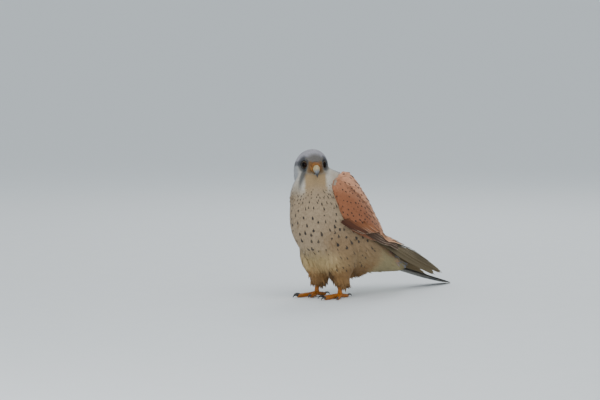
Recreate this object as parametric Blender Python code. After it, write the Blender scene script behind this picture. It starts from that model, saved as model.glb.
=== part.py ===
# Adult male common kestrel, life size, standing on flat ground with folded wings.
# Bird frame: it faces -Y, its left is +X, the floor is z = 0. All sizes here are millimetres.

import math
import random

import bmesh
import bpy
from mathutils import Matrix, Vector

METRES = 0.001
GAP = 0.3

# Driving sizes
EYE_HEIGHT = 155.5
HEAD_PLACE = (0.0, -20.0)
HEAD_YAW = 56.0
EYE_RADIUS = 5.0
EYE_PLACE = (6.6, 9.6, 1.6)
TAIL_ROOT = (62.0, 46.0)
TAIL_LENGTH = 163.0
TAIL_SLOPE = 16.2
FOOT_PLACES = {"left": (17.0, 9.0, 4.0), "right": (-17.0, 5.0, -4.0)}
SIDES = {"left": 1, "right": -1}
WING_SEEDS = {"left": 7, "right": 9}

# Body sections from inside the head to the tail coverts: breast y, z, back y, z, half width
BODY = [
    (-33, 158, -7, 161, 12.0),
    (-37, 144, 4, 151, 18.5),
    (-41.5, 128, 20, 142, 25.5),
    (-45, 111, 35.5, 127, 32.0),
    (-46, 93, 50, 110, 35.0),
    (-42.5, 76, 62, 93, 36.2),
    (-33, 60, 73.5, 78.5, 35.8),
    (-17, 46, 86, 65, 34.5),
    (4, 35.5, 98, 54, 30.0),
    (31, 29, 110, 45.5, 24.5),
    (58, 25.5, 120, 39.5, 19.0),
    (83, 23.5, 128, 34.5, 14.5),
    (104, 22.5, 136, 30.8, 11.0),
    (121, 21.5, 143, 27.6, 8.0),
]

# The bed that the folded wings lie on leaves the body at the rump and runs on above the tail
WING_BED = BODY[:8] + [
    (9, 43, 101, 59, 32.0),
    (50, 43, 122, 51, 26.5),
    (90, 35, 144, 43, 21.0),
    (125, 26, 162, 34.5, 16.0),
    (154, 17.5, 178, 27, 11.5),
    (176, 12, 191, 20, 8.0),
    (192, 9.5, 201, 14.3, 5.5),
]

# Head sections from the cere to the nape, in the head's own frame: forward, low, high, half width
HEAD = [
    (19.0, -6.5, 3.6, 5.2),
    (16.5, -10.0, 7.6, 7.8),
    (12.0, -14.0, 13.2, 11.2),
    (6.0, -17.5, 17.6, 14.8),
    (-2.0, -21.0, 19.6, 18.8),
    (-10.0, -25.0, 17.6, 20.6),
    (-17.0, -28.0, 12.0, 19.4),
    (-22.0, -29.0, 3.0, 15.5),
    (-24.6, -26.0, -8.0, 9.5),
]

# Bill parts: low forward, z, high forward, z, half width
BILL_UPPER = [
    (20.6, -6.6, 21.2, 1.8, 4.3),
    (22.6, -7.2, 23.8, 0.4, 3.7),
    (24.2, -8.0, 25.9, -2.2, 2.9),
    (25.2, -9.2, 27.1, -5.6, 2.0),
    (25.7, -10.8, 27.3, -8.8, 1.15),
    (26.0, -12.2, 26.7, -12.0, 0.35),
]
BILL_LOWER = [
    (17.6, -10.6, 18.0, -7.3, 4.0),
    (20.4, -10.3, 20.7, -7.7, 3.2),
    (22.8, -9.8, 23.0, -8.1, 2.2),
    (24.2, -9.3, 24.3, -8.6, 1.1),
]
CERE = [
    (16.8, -6.8, 17.2, 4.4, 5.2),
    (18.7, -6.9, 19.2, 3.9, 5.0),
    (20.3, -6.6, 20.9, 2.4, 4.5),
]

# Line of the mouth behind the bill, in the head's frame: forward, side, up
MOUTH_LINE = [(17.4, 4.8, -7.3), (16.5, 5.6, -7.5), (14.2, 7.7, -8.0), (12.0, 9.4, -8.6)]
MOUTH_DEPTH = 0.55

COLOURS = {
    "slate": ((0.36, 0.38, 0.44), 0.8),
    "buff": ((0.62, 0.52, 0.40), 0.85),
    "chestnut": ((0.50, 0.25, 0.15), 0.8),
    "tail_grey": ((0.40, 0.42, 0.45), 0.75),
    "horn": ((0.10, 0.11, 0.13), 0.35),
    "yellow_skin": ((0.80, 0.45, 0.08), 0.5),
    "eye": ((0.02, 0.012, 0.008), 0.08),
    "claw": ((0.02, 0.02, 0.022), 0.3),
}


def remove_all():
    for item in list(bpy.data.objects):
        bpy.data.objects.remove(item, do_unlink=True)


def material(name):
    found = bpy.data.materials.get(name)
    if found:
        return found
    colour, roughness = COLOURS[name]
    made = bpy.data.materials.new(name)
    made.use_nodes = True
    shader = made.node_tree.nodes["Principled BSDF"]
    shader.inputs["Base Color"].default_value = (*colour, 1.0)
    shader.inputs["Roughness"].default_value = roughness
    shader.inputs["Metallic"].default_value = 0.0
    return made


def sample(rows, place):
    """A smooth row between the rows of a table, by Catmull-Rom."""
    last = len(rows) - 1
    place = min(max(place, 0.0), float(last))
    start = min(int(place), last - 1)
    t = place - start
    picks = [rows[min(max(start + k, 0), last)] for k in (-1, 0, 1, 2)]
    mixed = []
    for a, b, c, d in zip(*picks):
        mixed.append(0.5 * (2 * b + (c - a) * t + (2 * a - 5 * b + 4 * c - d) * t * t
                            + (3 * b - a - 3 * c + d) * t ** 3))
    return mixed


def rounded(value, power):
    return math.copysign(abs(value) ** (2.0 / power), value)


def section_point(row, angle, power=2.15):
    """A point of a body section; angle 0 is the left flank, a quarter turn is the back."""
    low_y, low_z, high_y, high_z, half = row
    across = rounded(math.cos(angle), power) * half
    along = rounded(math.sin(angle), power)
    y = (low_y + high_y) / 2 + along * (high_y - low_y) / 2
    z = (low_z + high_z) / 2 + along * (high_z - low_z) / 2
    return Vector((across, y, z))


def new_node(name, mesh, finish, smooth=40.0):
    node = bpy.data.objects.new(name, mesh)
    bpy.context.scene.collection.objects.link(node)
    mesh.materials.clear()
    mesh.materials.append(material(finish))
    mesh.shade_smooth()
    mesh.set_sharp_from_angle(angle=math.radians(smooth))
    return node


def ring_mesh(name, rings):
    """A closed mesh through rings of points, with a flat lid at each end."""
    build = bmesh.new()
    loops = [[build.verts.new(point * METRES) for point in ring] for ring in rings]
    count = len(rings[0])
    for low, high in zip(loops, loops[1:]):
        for k in range(count):
            n = (k + 1) % count
            build.faces.new((low[k], low[n], high[n], high[k]))
    build.faces.new(list(reversed(loops[0])))
    build.faces.new(loops[-1])
    bmesh.ops.recalc_face_normals(build, faces=build.faces)
    if build.calc_volume(signed=True) < 0:
        bmesh.ops.reverse_faces(build, faces=build.faces)
    mesh = bpy.data.meshes.new(name)
    build.to_mesh(mesh)
    build.free()
    return mesh


def loft(name, rows, steps, around, finish, place=None, power=2.15):
    """A body through a table of sections, each row a low point, a high point and a half width."""
    total = len(rows) - 1
    rings = []
    for k in range(steps + 1):
        row = sample(rows, total * k / steps)
        ring = [section_point(row, 2 * math.pi * j / around, power) for j in range(around)]
        if place:
            ring = [place @ point for point in ring]
        rings.append(ring)
    return new_node(name, ring_mesh(name, rings), finish)


def head_place():
    turn = Matrix.Rotation(math.radians(HEAD_YAW), 4, "Z")
    return Matrix.Translation((*HEAD_PLACE, EYE_HEIGHT)) @ turn


def in_head(forward, side, up):
    return head_place() @ Vector((side, -forward, up))


def head_rows(rows):
    """Head tables hold distances forward, so they are turned to run along -Y."""
    return [(-low, low_z, -high, high_z, half) for low, low_z, high, high_z, half in rows]


def evaluated(node):
    graph = bpy.context.evaluated_depsgraph_get()
    graph.update()
    return bpy.data.meshes.new_from_object(node.evaluated_get(graph))


def combine(node, others, operation, solver="EXACT"):
    """One Boolean on a collection of closed meshes, applied, and the collection's objects removed."""
    group = bpy.data.collections.new(node.name + "_pieces")
    bpy.context.scene.collection.children.link(group)
    for other in others:
        for owner in list(other.users_collection):
            owner.objects.unlink(other)
        group.objects.link(other)
    cut = node.modifiers.new("combine", "BOOLEAN")
    cut.operation = operation
    cut.solver = solver
    cut.operand_type = "COLLECTION"
    cut.collection = group
    finish = node.data.materials[0]
    mesh = evaluated(node)
    node.modifiers.clear()
    node.data = mesh
    mesh.materials.clear()
    mesh.materials.append(finish)
    for other in others:
        bpy.data.objects.remove(other, do_unlink=True)
    bpy.data.collections.remove(group)
    keep_largest(node)


def keep_largest(node):
    """A node keeps only its largest closed surface."""
    build = bmesh.new()
    build.from_mesh(node.data)
    left = set(build.faces)
    pieces = []
    while left:
        stack = [left.pop()]
        piece = list(stack)
        while stack:
            for edge in stack.pop().edges:
                for face in edge.link_faces:
                    if face in left:
                        left.remove(face)
                        stack.append(face)
                        piece.append(face)
        pieces.append(piece)
    pieces.sort(key=piece_size, reverse=True)
    loose = [face for piece in pieces[1:] for face in piece]
    bmesh.ops.delete(build, geom=loose, context="FACES")
    build.to_mesh(node.data)
    build.free()


def piece_size(faces):
    points = [vert.co for face in faces for vert in face.verts]
    return math.prod(max(p[k] for p in points) - min(p[k] for p in points) for k in range(3))


def cut_off(node, point, normal):
    """Keeps the side of a plane that its normal points away from, with a flat lid on the cut."""
    build = bmesh.new()
    build.from_mesh(node.data)
    geometry = list(build.verts) + list(build.edges) + list(build.faces)
    made = bmesh.ops.bisect_plane(build, geom=geometry, dist=1e-7, plane_co=Vector(point) * METRES,
                                  plane_no=Vector(normal), clear_outer=True)
    rim = [item for item in made["geom_cut"] if isinstance(item, bmesh.types.BMEdge)]
    if rim:
        bmesh.ops.edgenet_fill(build, edges=rim)
    bmesh.ops.recalc_face_normals(build, faces=build.faces)
    if build.calc_volume(signed=True) < 0:
        bmesh.ops.reverse_faces(build, faces=build.faces)
    build.to_mesh(node.data)
    build.free()


def copy_of(node, name):
    other = bpy.data.objects.new(name, node.data.copy())
    bpy.context.scene.collection.objects.link(other)
    return other


def parted(node, name, point, normal):
    """Splits a node by a plane with a thin gap; the far side becomes the named node."""
    far = copy_of(node, name)
    step = Vector(normal).normalized() * (GAP / 2)
    cut_off(node, Vector(point) - step, normal)
    cut_off(far, Vector(point) + step, -Vector(normal))
    return far


def grown(node, name, distance):
    """A copy pushed out along its normals, for cutting a neighbour clear of it."""
    other = copy_of(node, name)
    normals = [vert.normal.copy() for vert in other.data.vertices]
    for vert, normal in zip(other.data.vertices, normals):
        vert.co = vert.co + normal * distance * METRES
    return other


def clear_of(node, *names, solver="EXACT"):
    """Cuts a node back to a thin gap from its neighbours."""
    for name in names:
        combine(node, [grown(bpy.data.objects[name], name + "_room", GAP)], "DIFFERENCE", solver)


def ball(name, centre, radius, finish, segments=24, rings=16):
    build = bmesh.new()
    bmesh.ops.create_uvsphere(build, u_segments=segments, v_segments=rings, radius=radius * METRES)
    bmesh.ops.translate(build, verts=build.verts, vec=Vector(centre) * METRES)
    mesh = bpy.data.meshes.new(name)
    build.to_mesh(mesh)
    build.free()
    return new_node(name, mesh, finish)


def tube(name, points, radii, finish, around=8, flat=1.0, up=Vector((0, 0, 1))):
    """A closed round body along a path, its ring flattened upward by a factor."""
    rings = []
    for k, point in enumerate(points):
        before = points[max(k - 1, 0)]
        after = points[min(k + 1, len(points) - 1)]
        along = (after - before).normalized()
        side = along.cross(up).normalized()
        rise = side.cross(along)
        ring = []
        for j in range(around):
            angle = 2 * math.pi * j / around
            ring.append(point + side * math.cos(angle) * radii[k] + rise * math.sin(angle) * radii[k] * flat)
        rings.append(ring)
    return new_node(name, ring_mesh(name, rings), finish)


def body_nodes():
    """Head, neck, torso and tail coverts from one body, parted by thin cuts."""
    torso = loft("torso", BODY, 32, 28, "buff")
    rows = head_rows([(f, low, f, high, half) for f, low, high, half in HEAD])
    skull = loft("skull", rows, 18, 24, "slate", head_place(), power=2.1)
    combine(torso, [skull], "UNION")
    head = parted(torso, "head", (0, -18, EYE_HEIGHT - 15), (0, -0.275, 1))
    head.data.materials.clear()
    head.data.materials.append(material("slate"))
    parted(torso, "neck", (0, -12, 118), (0, -0.3, 1))
    slope = math.radians(TAIL_SLOPE)
    coverts = parted(torso, "tail", (0, 98, 32), (0, math.cos(slope), -math.sin(slope)))
    coverts.data.materials.clear()
    coverts.data.materials.append(material("tail_grey"))
    return head, coverts


def head_nodes(head):
    place = head_place()
    lids = []
    sockets = []
    grooves = []
    for side_name, side in SIDES.items():
        forward, out, up = EYE_PLACE
        centre = in_head(forward, side * out, up)
        gaze = (in_head(forward + math.cos(math.radians(50)), side * (out + math.sin(math.radians(50))), up)
                - centre).normalized()
        ball("eye_" + side_name, centre, EYE_RADIUS, "eye", 16, 10)
        sockets.append(ball("socket_" + side_name, centre, EYE_RADIUS + GAP, "eye", 16, 12))
        lids.append(lid_ring("lid_" + side_name, centre + gaze * 2.9, gaze))
        mouth = [in_head(ahead, side * out, up) for ahead, out, up in MOUTH_LINE]
        grooves.append(tube("mouth_" + side_name, mouth, [MOUTH_DEPTH] * len(mouth), "claw", 6))
    combine(head, lids, "UNION")
    combine(head, sockets + grooves, "DIFFERENCE")
    cere = loft("cere", head_rows(CERE), 4, 16, "yellow_skin", place)
    clear_of(cere, "head")
    nostrils = []
    for side_name, side in SIDES.items():
        nostrils.append(ball("nostril_" + side_name, in_head(19.8, side * 4.9, -0.6), 1.1, "claw", 8, 6))
    combine(cere, nostrils, "DIFFERENCE")
    bill = loft("bill_upper", head_rows(BILL_UPPER), 9, 12, "horn", place)
    jaw = loft("bill_lower", head_rows(BILL_LOWER), 5, 10, "horn", place)
    clear_of(bill, "cere")
    clear_of(jaw, "head", "cere", "bill_upper")


def lid_ring(name, centre, gaze, ring_radius=4.3, thickness=1.0, around=16, section=6):
    """A rolled eyelid rim around the eye."""
    side = gaze.cross(Vector((0, 0, 1))).normalized()
    rise = side.cross(gaze).normalized()
    build = bmesh.new()
    loops = []
    for k in range(around):
        angle = 2 * math.pi * k / around
        out = side * math.cos(angle) + rise * math.sin(angle)
        loop = []
        for j in range(section):
            turn = 2 * math.pi * j / section
            point = centre + out * (ring_radius + thickness * math.cos(turn)) + gaze * thickness * math.sin(turn)
            loop.append(build.verts.new(point * METRES))
        loops.append(loop)
    for k in range(around):
        here = loops[k]
        after = loops[(k + 1) % around]
        for j in range(section):
            n = (j + 1) % section
            build.faces.new((here[j], after[j], after[n], here[n]))
    bmesh.ops.recalc_face_normals(build, faces=build.faces)
    if build.calc_volume(signed=True) < 0:
        bmesh.ops.reverse_faces(build, faces=build.faces)
    mesh = bpy.data.meshes.new(name)
    build.to_mesh(mesh)
    build.free()
    return new_node(name, mesh, "slate")


def bed_point(place, angle, height, side):
    """A point at a height above the wing bed."""
    step = 0.02
    here = section_point(sample(WING_BED, place), angle)
    along = section_point(sample(WING_BED, place + step), angle) - section_point(
        sample(WING_BED, place - step), angle)
    around = section_point(sample(WING_BED, place), angle + step) - section_point(
        sample(WING_BED, place), angle - step)
    normal = around.cross(along).normalized()
    if normal.x * math.cos(angle) + normal.z * math.sin(angle) < 0:
        normal = -normal
    point = here + normal * height
    return Vector((point.x * side, point.y, point.z))


# Outline of the wing's arm on its bed: place along the bed, lower edge angle, upper edge angle
WING_ARM = [
    (1.9, 0, 50),
    (2.4, -10, 66),
    (3.4, -13, 74),
    (4.5, -9, 76),
    (5.6, 2, 74),
    (6.4, 12, 70),
]
ARM_THICKNESS = 4.4

# Feather rows of a folded wing, lowest feather first. Each has its number of feathers, the first and
# last root, the first and last tip (place along the bed, angle, height), half widths below and above
# the shaft, and the tilt that lets each feather slide under the next one up.
FEATHER_ROWS = {
    "tertial": (3, (4.4, 50, 3.0), (4.6, 66, 3.4), (9.0, 60, 6.6), (8.0, 77, 7.4), (7.2, 7.2), 5),
    "greater_covert": (5, (3.0, 2, 2.6), (3.5, 68, 2.8), (4.9, 2, 5.0), (5.8, 74, 6.2), (7.4, 8.6), 6),
    "median_covert": (4, (2.2, 3, 3.0), (2.5, 60, 3.0), (3.8, 2, 6.4), (4.5, 66, 7.6), (8.4, 9.6), 5),
    "alula": (2, (3.1, -13, 1.8), (3.0, -7, 2.2), (4.9, -13, 2.6), (4.5, -8, 3.6), (2.4, 3.2), 5),
    "scapular": (3, (2.2, 56, 3.0), (4.3, 73, 3.2), (4.0, 64, 9.0), (6.2, 80, 8.0), (7.8, 8.4), 3),
}

# Rows whose shafts run straight as seen from the side: count, first and last root, first and last tip
# (back, up, height over the bed), half widths below and above the shaft, and tilt
STRAIGHT_ROWS = {
    "secondary": (4, (20, 87, 2.8), (30, 105, 3.6), (95, 52, 5.0), (104, 60, 6.8), (6.8, 8.4), 5),
    "primary_covert": (2, (8, 84, 1.6), (7, 91, 2.2), (58, 66, 2.9), (54, 73, 3.9), (3.4, 4.4), 5),
}

# Primaries from the lowest up, shafts straight from the side: root, then tip (back, up)
PRIMARIES = [((40, 71), (184, 13.5)), ((39, 76), (198, 13.2)), ((38, 81), (190, 19.0)),
             ((37, 87), (172, 27.5)), ((35, 93), (152, 37.0))]
PRIMARY_LEVELS = (0.9, 0.7, 0.9)
PRIMARY_WIDTHS = (4.2, 8.0)
PRIMARY_TILT = 4

VANE_THICKNESS = 0.8
EDGE_THICKNESS = 0.5
WING_CAMBER = 0.011
UNEVEN = 0.012
VANE_WIDTHS = [(0.0, 0.6), (0.45, 1.0), (0.86, 0.78), (1.0, 0.26)]
SHORT_WIDTHS = [(0.0, 0.7), (0.42, 1.0), (0.78, 0.96), (1.0, 0.42)]


def vane_mesh(name, frames, below, above, widths, camber=0.0):
    """A feather vane along frames of point, normal and across, cut into triangles alike on both faces."""
    build = bmesh.new()
    loops = []
    for (point, normal, across), (share, width) in zip(frames, widths):
        thin = 1.0 - 0.35 * share
        half = VANE_THICKNESS / 2 * thin
        edge = EDGE_THICKNESS / 2 * thin
        low = point - across * below * width - normal * camber * (below * width) ** 2
        high = point + across * above * width - normal * camber * (above * width) ** 2
        top = [(low, edge), (point, half), (high, edge)]
        ring = [p + normal * lift for p, lift in top] + [p - normal * lift for p, lift in reversed(top)]
        loops.append([build.verts.new(p * METRES) for p in ring])
    count = len(loops[0])
    for here, after in zip(loops, loops[1:]):
        for a in range(count // 2):
            b = a + 1
            build.faces.new((here[a], here[b], after[b]))
            build.faces.new((here[a], after[b], after[a]))
            if b < count // 2:
                c = count - 1 - a
                build.faces.new((here[c], after[c - 1], here[c - 1]))
                build.faces.new((here[c], after[c], after[c - 1]))
        build.faces.new((here[-1], here[0], after[0]))
        build.faces.new((here[-1], after[0], after[-1]))
    for loop in (loops[0], list(reversed(loops[-1]))):
        for a in range(count // 2 - 1):
            c = count - 1 - a
            build.faces.new((loop[a], loop[a + 1], loop[c - 1]))
            build.faces.new((loop[a], loop[c - 1], loop[c]))
    bmesh.ops.recalc_face_normals(build, faces=build.faces)
    if build.calc_volume(signed=True) < 0:
        bmesh.ops.reverse_faces(build, faces=build.faces)
    mesh = bpy.data.meshes.new(name)
    build.to_mesh(mesh)
    build.free()
    return mesh


def bed_spot(back, up):
    """Place and angle on the wing bed under a point seen from the side."""
    low, high = 1.0, len(WING_BED) - 1.0
    for _ in range(40):
        place = (low + high) / 2
        low_y, low_z, high_y, high_z, _ = sample(WING_BED, place)
        beyond = (high_y - low_y) * (up - low_z) - (high_z - low_z) * (back - low_y) < 0
        low, high = (place, high) if beyond else (low, place)
    run = Vector((high_y - low_y, high_z - low_z))
    along = 2 * Vector((back - low_y, up - low_z)).dot(run) / run.length_squared - 1
    along = min(max(along, -0.995), 0.995)
    return place, math.degrees(math.asin(rounded(along, 2 * 2 / 2.15)))


def bed_frames(spots, side, tilt):
    """Frames of a feather that lies on the wing bed, through spots of place, angle and height."""
    points = []
    for place, angle, height in spots:
        angle = math.radians(angle)
        foot = bed_point(place, angle, 0.0, side)
        head = bed_point(place, angle, height, side)
        points.append((head, (head - foot).normalized()))
    frames = []
    turn = math.radians(tilt)
    for k, (point, normal) in enumerate(points):
        along = (points[min(k + 1, len(points) - 1)][0] - points[max(k - 1, 0)][0]).normalized()
        across = along.cross(normal).normalized()
        if across.z < 0:
            across = -across
        leaned = across * math.cos(turn) - normal * math.sin(turn)
        frames.append((point, (normal * math.cos(turn) + across * math.sin(turn)).normalized(), leaned))
    return frames


def curved_spots(root, tip, widths):
    return [row_value(root, tip, share) for share, _ in widths]


def straight_spots(root, tip, widths):
    spots = []
    for share, _ in widths:
        back, up, height = row_value(root, tip, share)
        spots.append((*bed_spot(back, up), height))
    return spots


def row_value(first, last, share):
    return tuple(a + (b - a) * share for a, b in zip(first, last))


def wing_arm(side):
    """The covered arm of a folded wing, the core that its feathers grow from."""
    steps = 9
    across = 8
    rings = []
    for k in range(steps + 1):
        place, low, high = sample(WING_ARM, (len(WING_ARM) - 1) * k / steps)
        inner = []
        outer = []
        for j in range(across + 1):
            share = j / across
            angle = math.radians(low + (high - low) * share)
            lift = ARM_THICKNESS * math.sin(math.pi * min(max(share, 0.1), 0.9)) ** 0.6
            lift *= 0.45 + 0.55 * math.sin(math.pi * min(0.15 + 0.75 * k / steps, 1.0))
            inner.append(bed_point(place, angle, 0.65, side))
            outer.append(bed_point(place, angle, 0.65 + lift, side))
        rings.append(inner + list(reversed(outer)))
    return ring_mesh("arm", rings)


def wing_node(side_name):
    """A folded wing: its arm and rows of overlapping vanes, fused into one body."""
    side = SIDES[side_name]
    draw = random.Random(WING_SEEDS[side_name])
    wing = new_node("wing_" + side_name, wing_arm(side), "chestnut")
    rows = []
    lowest, root_step, tip_step = PRIMARY_LEVELS
    for k, (root, tip) in enumerate(PRIMARIES):
        lifted = (*root, lowest + root_step * k), (*tip, lowest + tip_step * k)
        rows.append((lifted, straight_spots, PRIMARY_WIDTHS, VANE_WIDTHS, PRIMARY_TILT))
    for table, spots_of in ((STRAIGHT_ROWS, straight_spots), (FEATHER_ROWS, curved_spots)):
        for name, (count, root_a, root_b, tip_a, tip_b, halves, tilt) in table.items():
            widths = VANE_WIDTHS if name in ("secondary", "tertial") else SHORT_WIDTHS
            for k in range(count):
                share = k / (count - 1)
                ends = row_value(root_a, root_b, share), row_value(tip_a, tip_b, share)
                rows.append((ends, spots_of, halves, widths, tilt))
    vanes = []
    for (root, tip), spots_of, (below, above), widths, tilt in rows:
        start = draw.uniform(0.0, UNEVEN)
        reach = 1 + draw.uniform(-UNEVEN, UNEVEN)
        spots = spots_of(row_value(root, tip, start), row_value(root, tip, reach), widths)
        frames = bed_frames(spots, side, tilt)
        mesh = vane_mesh("vane", frames, below, above, widths, WING_CAMBER)
        vanes.append(new_node("vane", mesh, "chestnut"))
    combine(wing, vanes, "UNION", "MANIFOLD")
    clear_of(wing, "torso", "neck", "tail", solver="MANIFOLD")
    cut_off(wing, (side * GAP / 2, 0, 0), (-side, 0, 0))
    keep_largest(wing)


# Tail feathers in pairs from the middle out: shaft distance at root and tip, half widths, shortening
TAIL_PAIRS = 6
TAIL_LEVEL = 0.8


def tail_feathers(coverts):
    """Twelve tail feathers, the middle pair on top and the outer ones shorter, fused to the coverts."""
    slope = math.radians(TAIL_SLOPE)
    direction = Vector((0, math.cos(slope), -math.sin(slope)))
    rise = Vector((0, math.sin(slope), math.cos(slope)))
    root = Vector((0, *TAIL_ROOT))
    vanes = []
    for pair in range(TAIL_PAIRS):
        for side in SIDES.values():
            level = -TAIL_LEVEL * (pair + (1 if pair or side < 0 else 0))
            length = TAIL_LENGTH - 1.1 * pair ** 2
            outer = 7.4 if pair == 0 else 6.4 - 0.4 * pair
            inner = 7.0 if pair == 0 else 2.0 + 1.2 * pair
            frames = []
            for share, _ in VANE_WIDTHS:
                along = 46 + (length - 46) * share
                shaft = side * ((0.9 + 0.8 * pair) * (1 - share) + (2.3 + 1.3 * pair) * share)
                spread = 1.0 - 0.25 * share
                point = root + direction * along + rise * (level * spread) + Vector((shaft, 0, 0))
                frames.append((point, rise, Vector((side, 0, 0))))
            vanes.append(new_node("vane", vane_mesh("vane", frames, inner, outer, VANE_WIDTHS), "tail_grey"))
    combine(coverts, vanes, "UNION")
    cut_off(coverts, (0, 0, 0), (0, 0, -1))


# Legs: thigh sections from the belly down: height, forward, half depth, half width
THIGH = [(62, 8, 24, 17), (47, 8, 23, 16.5), (35, 8.5, 18.5, 14.5), (27, 9, 12.5, 10.5), (22, 9.5, 6.8, 6.4)]


def leg_nodes(side_name):
    x, y, turn = FOOT_PLACES[side_name]
    rings = []
    for height, forward, depth, half in THIGH:
        centre = Vector((x * (1 + (height - 20) * 0.002), y - 9 + forward, height))
        ring = []
        for j in range(20):
            angle = 2 * math.pi * j / 20
            ring.append(centre + Vector((half * math.cos(angle), depth * math.sin(angle), 0)))
        rings.append(ring)
    thigh = new_node("thigh_" + side_name, ring_mesh("thigh", rings), "buff")
    clear_of(thigh, "torso")
    ankle = Vector((x, y, THIGH[-1][0] - GAP))
    heel = Vector((x, y - 1.0, 7.0))
    shank = [ankle, ankle.lerp(heel, 0.5), heel]
    tube("tarsus_" + side_name, shank, [3.0, 2.5, 2.9], "yellow_skin", 12, up=Vector((0, 1, 0)))
    foot_node(side_name, x, y - 1.0, turn)


# Toes: name, angle from straight ahead outward, length, thickness
TOES = [("inner", -28, 21, 2.7), ("middle", 3, 29, 2.8), ("outer", 33, 21, 2.5), ("back", 178, 14, 2.6)]


def foot_node(side_name, x, y, turn):
    side = SIDES[side_name]
    hub = ball("foot_" + side_name, (x, y, 3.8), 4.2, "yellow_skin", 12, 8)
    toes = []
    claws = []
    for name, spread, length, thick in TOES:
        angle = math.radians(spread * side + turn)
        ahead = Vector((math.sin(angle), -math.cos(angle), 0))
        points = []
        radii = []
        for k in range(6):
            share = k / 5
            bump = 0.28 * math.sin(share * math.pi * 3) ** 2
            radii.append(thick * (1 - 0.28 * share + bump * 0.4))
            points.append(Vector((x, y, 0)) + ahead * length * share
                          + Vector((0, 0, radii[-1] * 0.88 + 1.2 * (1 - share) ** 2)))
        toes.append(tube("toe", points, radii, "yellow_skin", 8))
        claws.append((name, points[-1], ahead, radii[-1]))
    combine(hub, toes, "UNION")
    cut_off(hub, (0, 0, 0), (0, 0, -1))
    clear_of(hub, "tarsus_" + side_name)
    for name, tip, ahead, thick in claws:
        claw_node("claw_" + side_name + "_" + name, hub, tip, ahead, thick)


def claw_node(name, foot, tip, ahead, thick, reach=8.5, steps=7):
    """A curved claw that rises from the toe and comes down to the floor."""
    points = []
    radii = []
    for k in range(steps + 1):
        share = k / steps
        bend = math.radians(-25 + 105 * share)
        step = reach * 1.35 / steps
        if k == 0:
            points.append(tip - ahead * 1.0 + Vector((0, 0, thick * 0.25)))
        else:
            points.append(points[-1] + ahead * math.cos(bend) * step - Vector((0, 0, math.sin(bend) * step)))
        radii.append(thick * 0.62 * (1 - share) ** 0.7 + 0.16)
    lift = max(0.3 + radii[-1] - points[-1].z, 0)
    points = [point + Vector((0, 0, lift * (k / steps))) for k, point in enumerate(points)]
    claw = tube(name, points, radii, "claw", 8)
    clear_of(claw, foot.name)


def centre_on_origin():
    """Hangs every node on one empty and sets the floor's middle under the bird at the origin."""
    nodes = [item for item in bpy.data.objects if item.type == "MESH"]
    points = [vert.co for item in nodes for vert in item.data.vertices]
    middle_x = (max(p.x for p in points) + min(p.x for p in points)) / 2
    middle_y = (max(p.y for p in points) + min(p.y for p in points)) / 2
    root = bpy.data.objects.new("kestrel", None)
    bpy.context.scene.collection.objects.link(root)
    root.location = (-middle_x, -middle_y, -min(p.z for p in points))
    for item in nodes:
        item.parent = root


def main():
    remove_all()
    head, coverts = body_nodes()
    head_nodes(head)
    tail_feathers(coverts)
    for side_name in SIDES:
        wing_node(side_name)
        leg_nodes(side_name)
    centre_on_origin()


main()
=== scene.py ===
# Adult male common kestrel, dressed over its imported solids.
# Tables are in millimetres in the bird's own frame: it faces -Y, its left is +X, the floor is z = 0.

import math

import bpy
import numpy as np
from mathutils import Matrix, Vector
from mathutils.bvhtree import BVHTree
from mathutils.kdtree import KDTree


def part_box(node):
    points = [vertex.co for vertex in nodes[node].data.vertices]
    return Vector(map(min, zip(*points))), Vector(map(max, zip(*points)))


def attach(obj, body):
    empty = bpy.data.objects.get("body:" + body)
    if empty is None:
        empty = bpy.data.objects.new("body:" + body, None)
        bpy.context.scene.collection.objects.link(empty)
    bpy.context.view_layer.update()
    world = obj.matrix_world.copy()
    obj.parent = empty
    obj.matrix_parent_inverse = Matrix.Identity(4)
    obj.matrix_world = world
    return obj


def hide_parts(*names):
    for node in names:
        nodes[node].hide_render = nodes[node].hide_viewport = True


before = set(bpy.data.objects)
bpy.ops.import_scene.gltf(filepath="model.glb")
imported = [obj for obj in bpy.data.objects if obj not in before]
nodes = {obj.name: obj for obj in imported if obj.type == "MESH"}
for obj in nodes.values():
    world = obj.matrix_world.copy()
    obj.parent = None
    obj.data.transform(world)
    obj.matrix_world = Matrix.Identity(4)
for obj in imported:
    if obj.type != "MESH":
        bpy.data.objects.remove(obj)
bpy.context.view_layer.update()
mm = 0.001

# head places are ahead, aside and up from the middle of the head
headFrame = {"yaw": 56.0, "eyeHeight": 155.5, "place": (0.0, -20.0), "eye": (6.6, 9.6, 1.6), "eyeRadius": 5.0,
             "billRoot": (18.0, 0.0, -3.0), "billPoint": (21.0, 0.0, -1.0)}
# where the head meets the body, as seen from the side
neckLine = {"height": 140.5, "slope": 0.275, "back": 18.0}

headTurn = math.radians(headFrame["yaw"])
headForward = np.array([math.sin(headTurn), -math.cos(headTurn), 0.0])
headSide = np.array([math.cos(headTurn), math.sin(headTurn), 0.0])
headCentre = np.array([*headFrame["place"], headFrame["eyeHeight"]])


def boxMiddle(node):
    low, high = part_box(node)
    return np.array((low + high) / 2)


def inHead(ahead, side, up):
    return headCentre + headForward * ahead + headSide * side + np.array([0.0, 0.0, up])


eyesMiddle = (boxMiddle("eye_left") + boxMiddle("eye_right")) / 2
birdOrigin = eyesMiddle - inHead(headFrame["eye"][0], 0.0, headFrame["eye"][2]) * mm


def toScene(points):
    return np.asarray(points, float) * mm + birdOrigin


def toBird(points):
    return (np.asarray(points, float) - birdOrigin) / mm


def toHead(points):
    # bird frame to ahead, side, up
    away = np.asarray(points, float) - headCentre
    return np.stack([away @ headForward, away @ headSide, away[..., 2]], -1)


eyeSpots = [toBird(boxMiddle(node)) for node in ("eye_left", "eye_right")]


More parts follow.
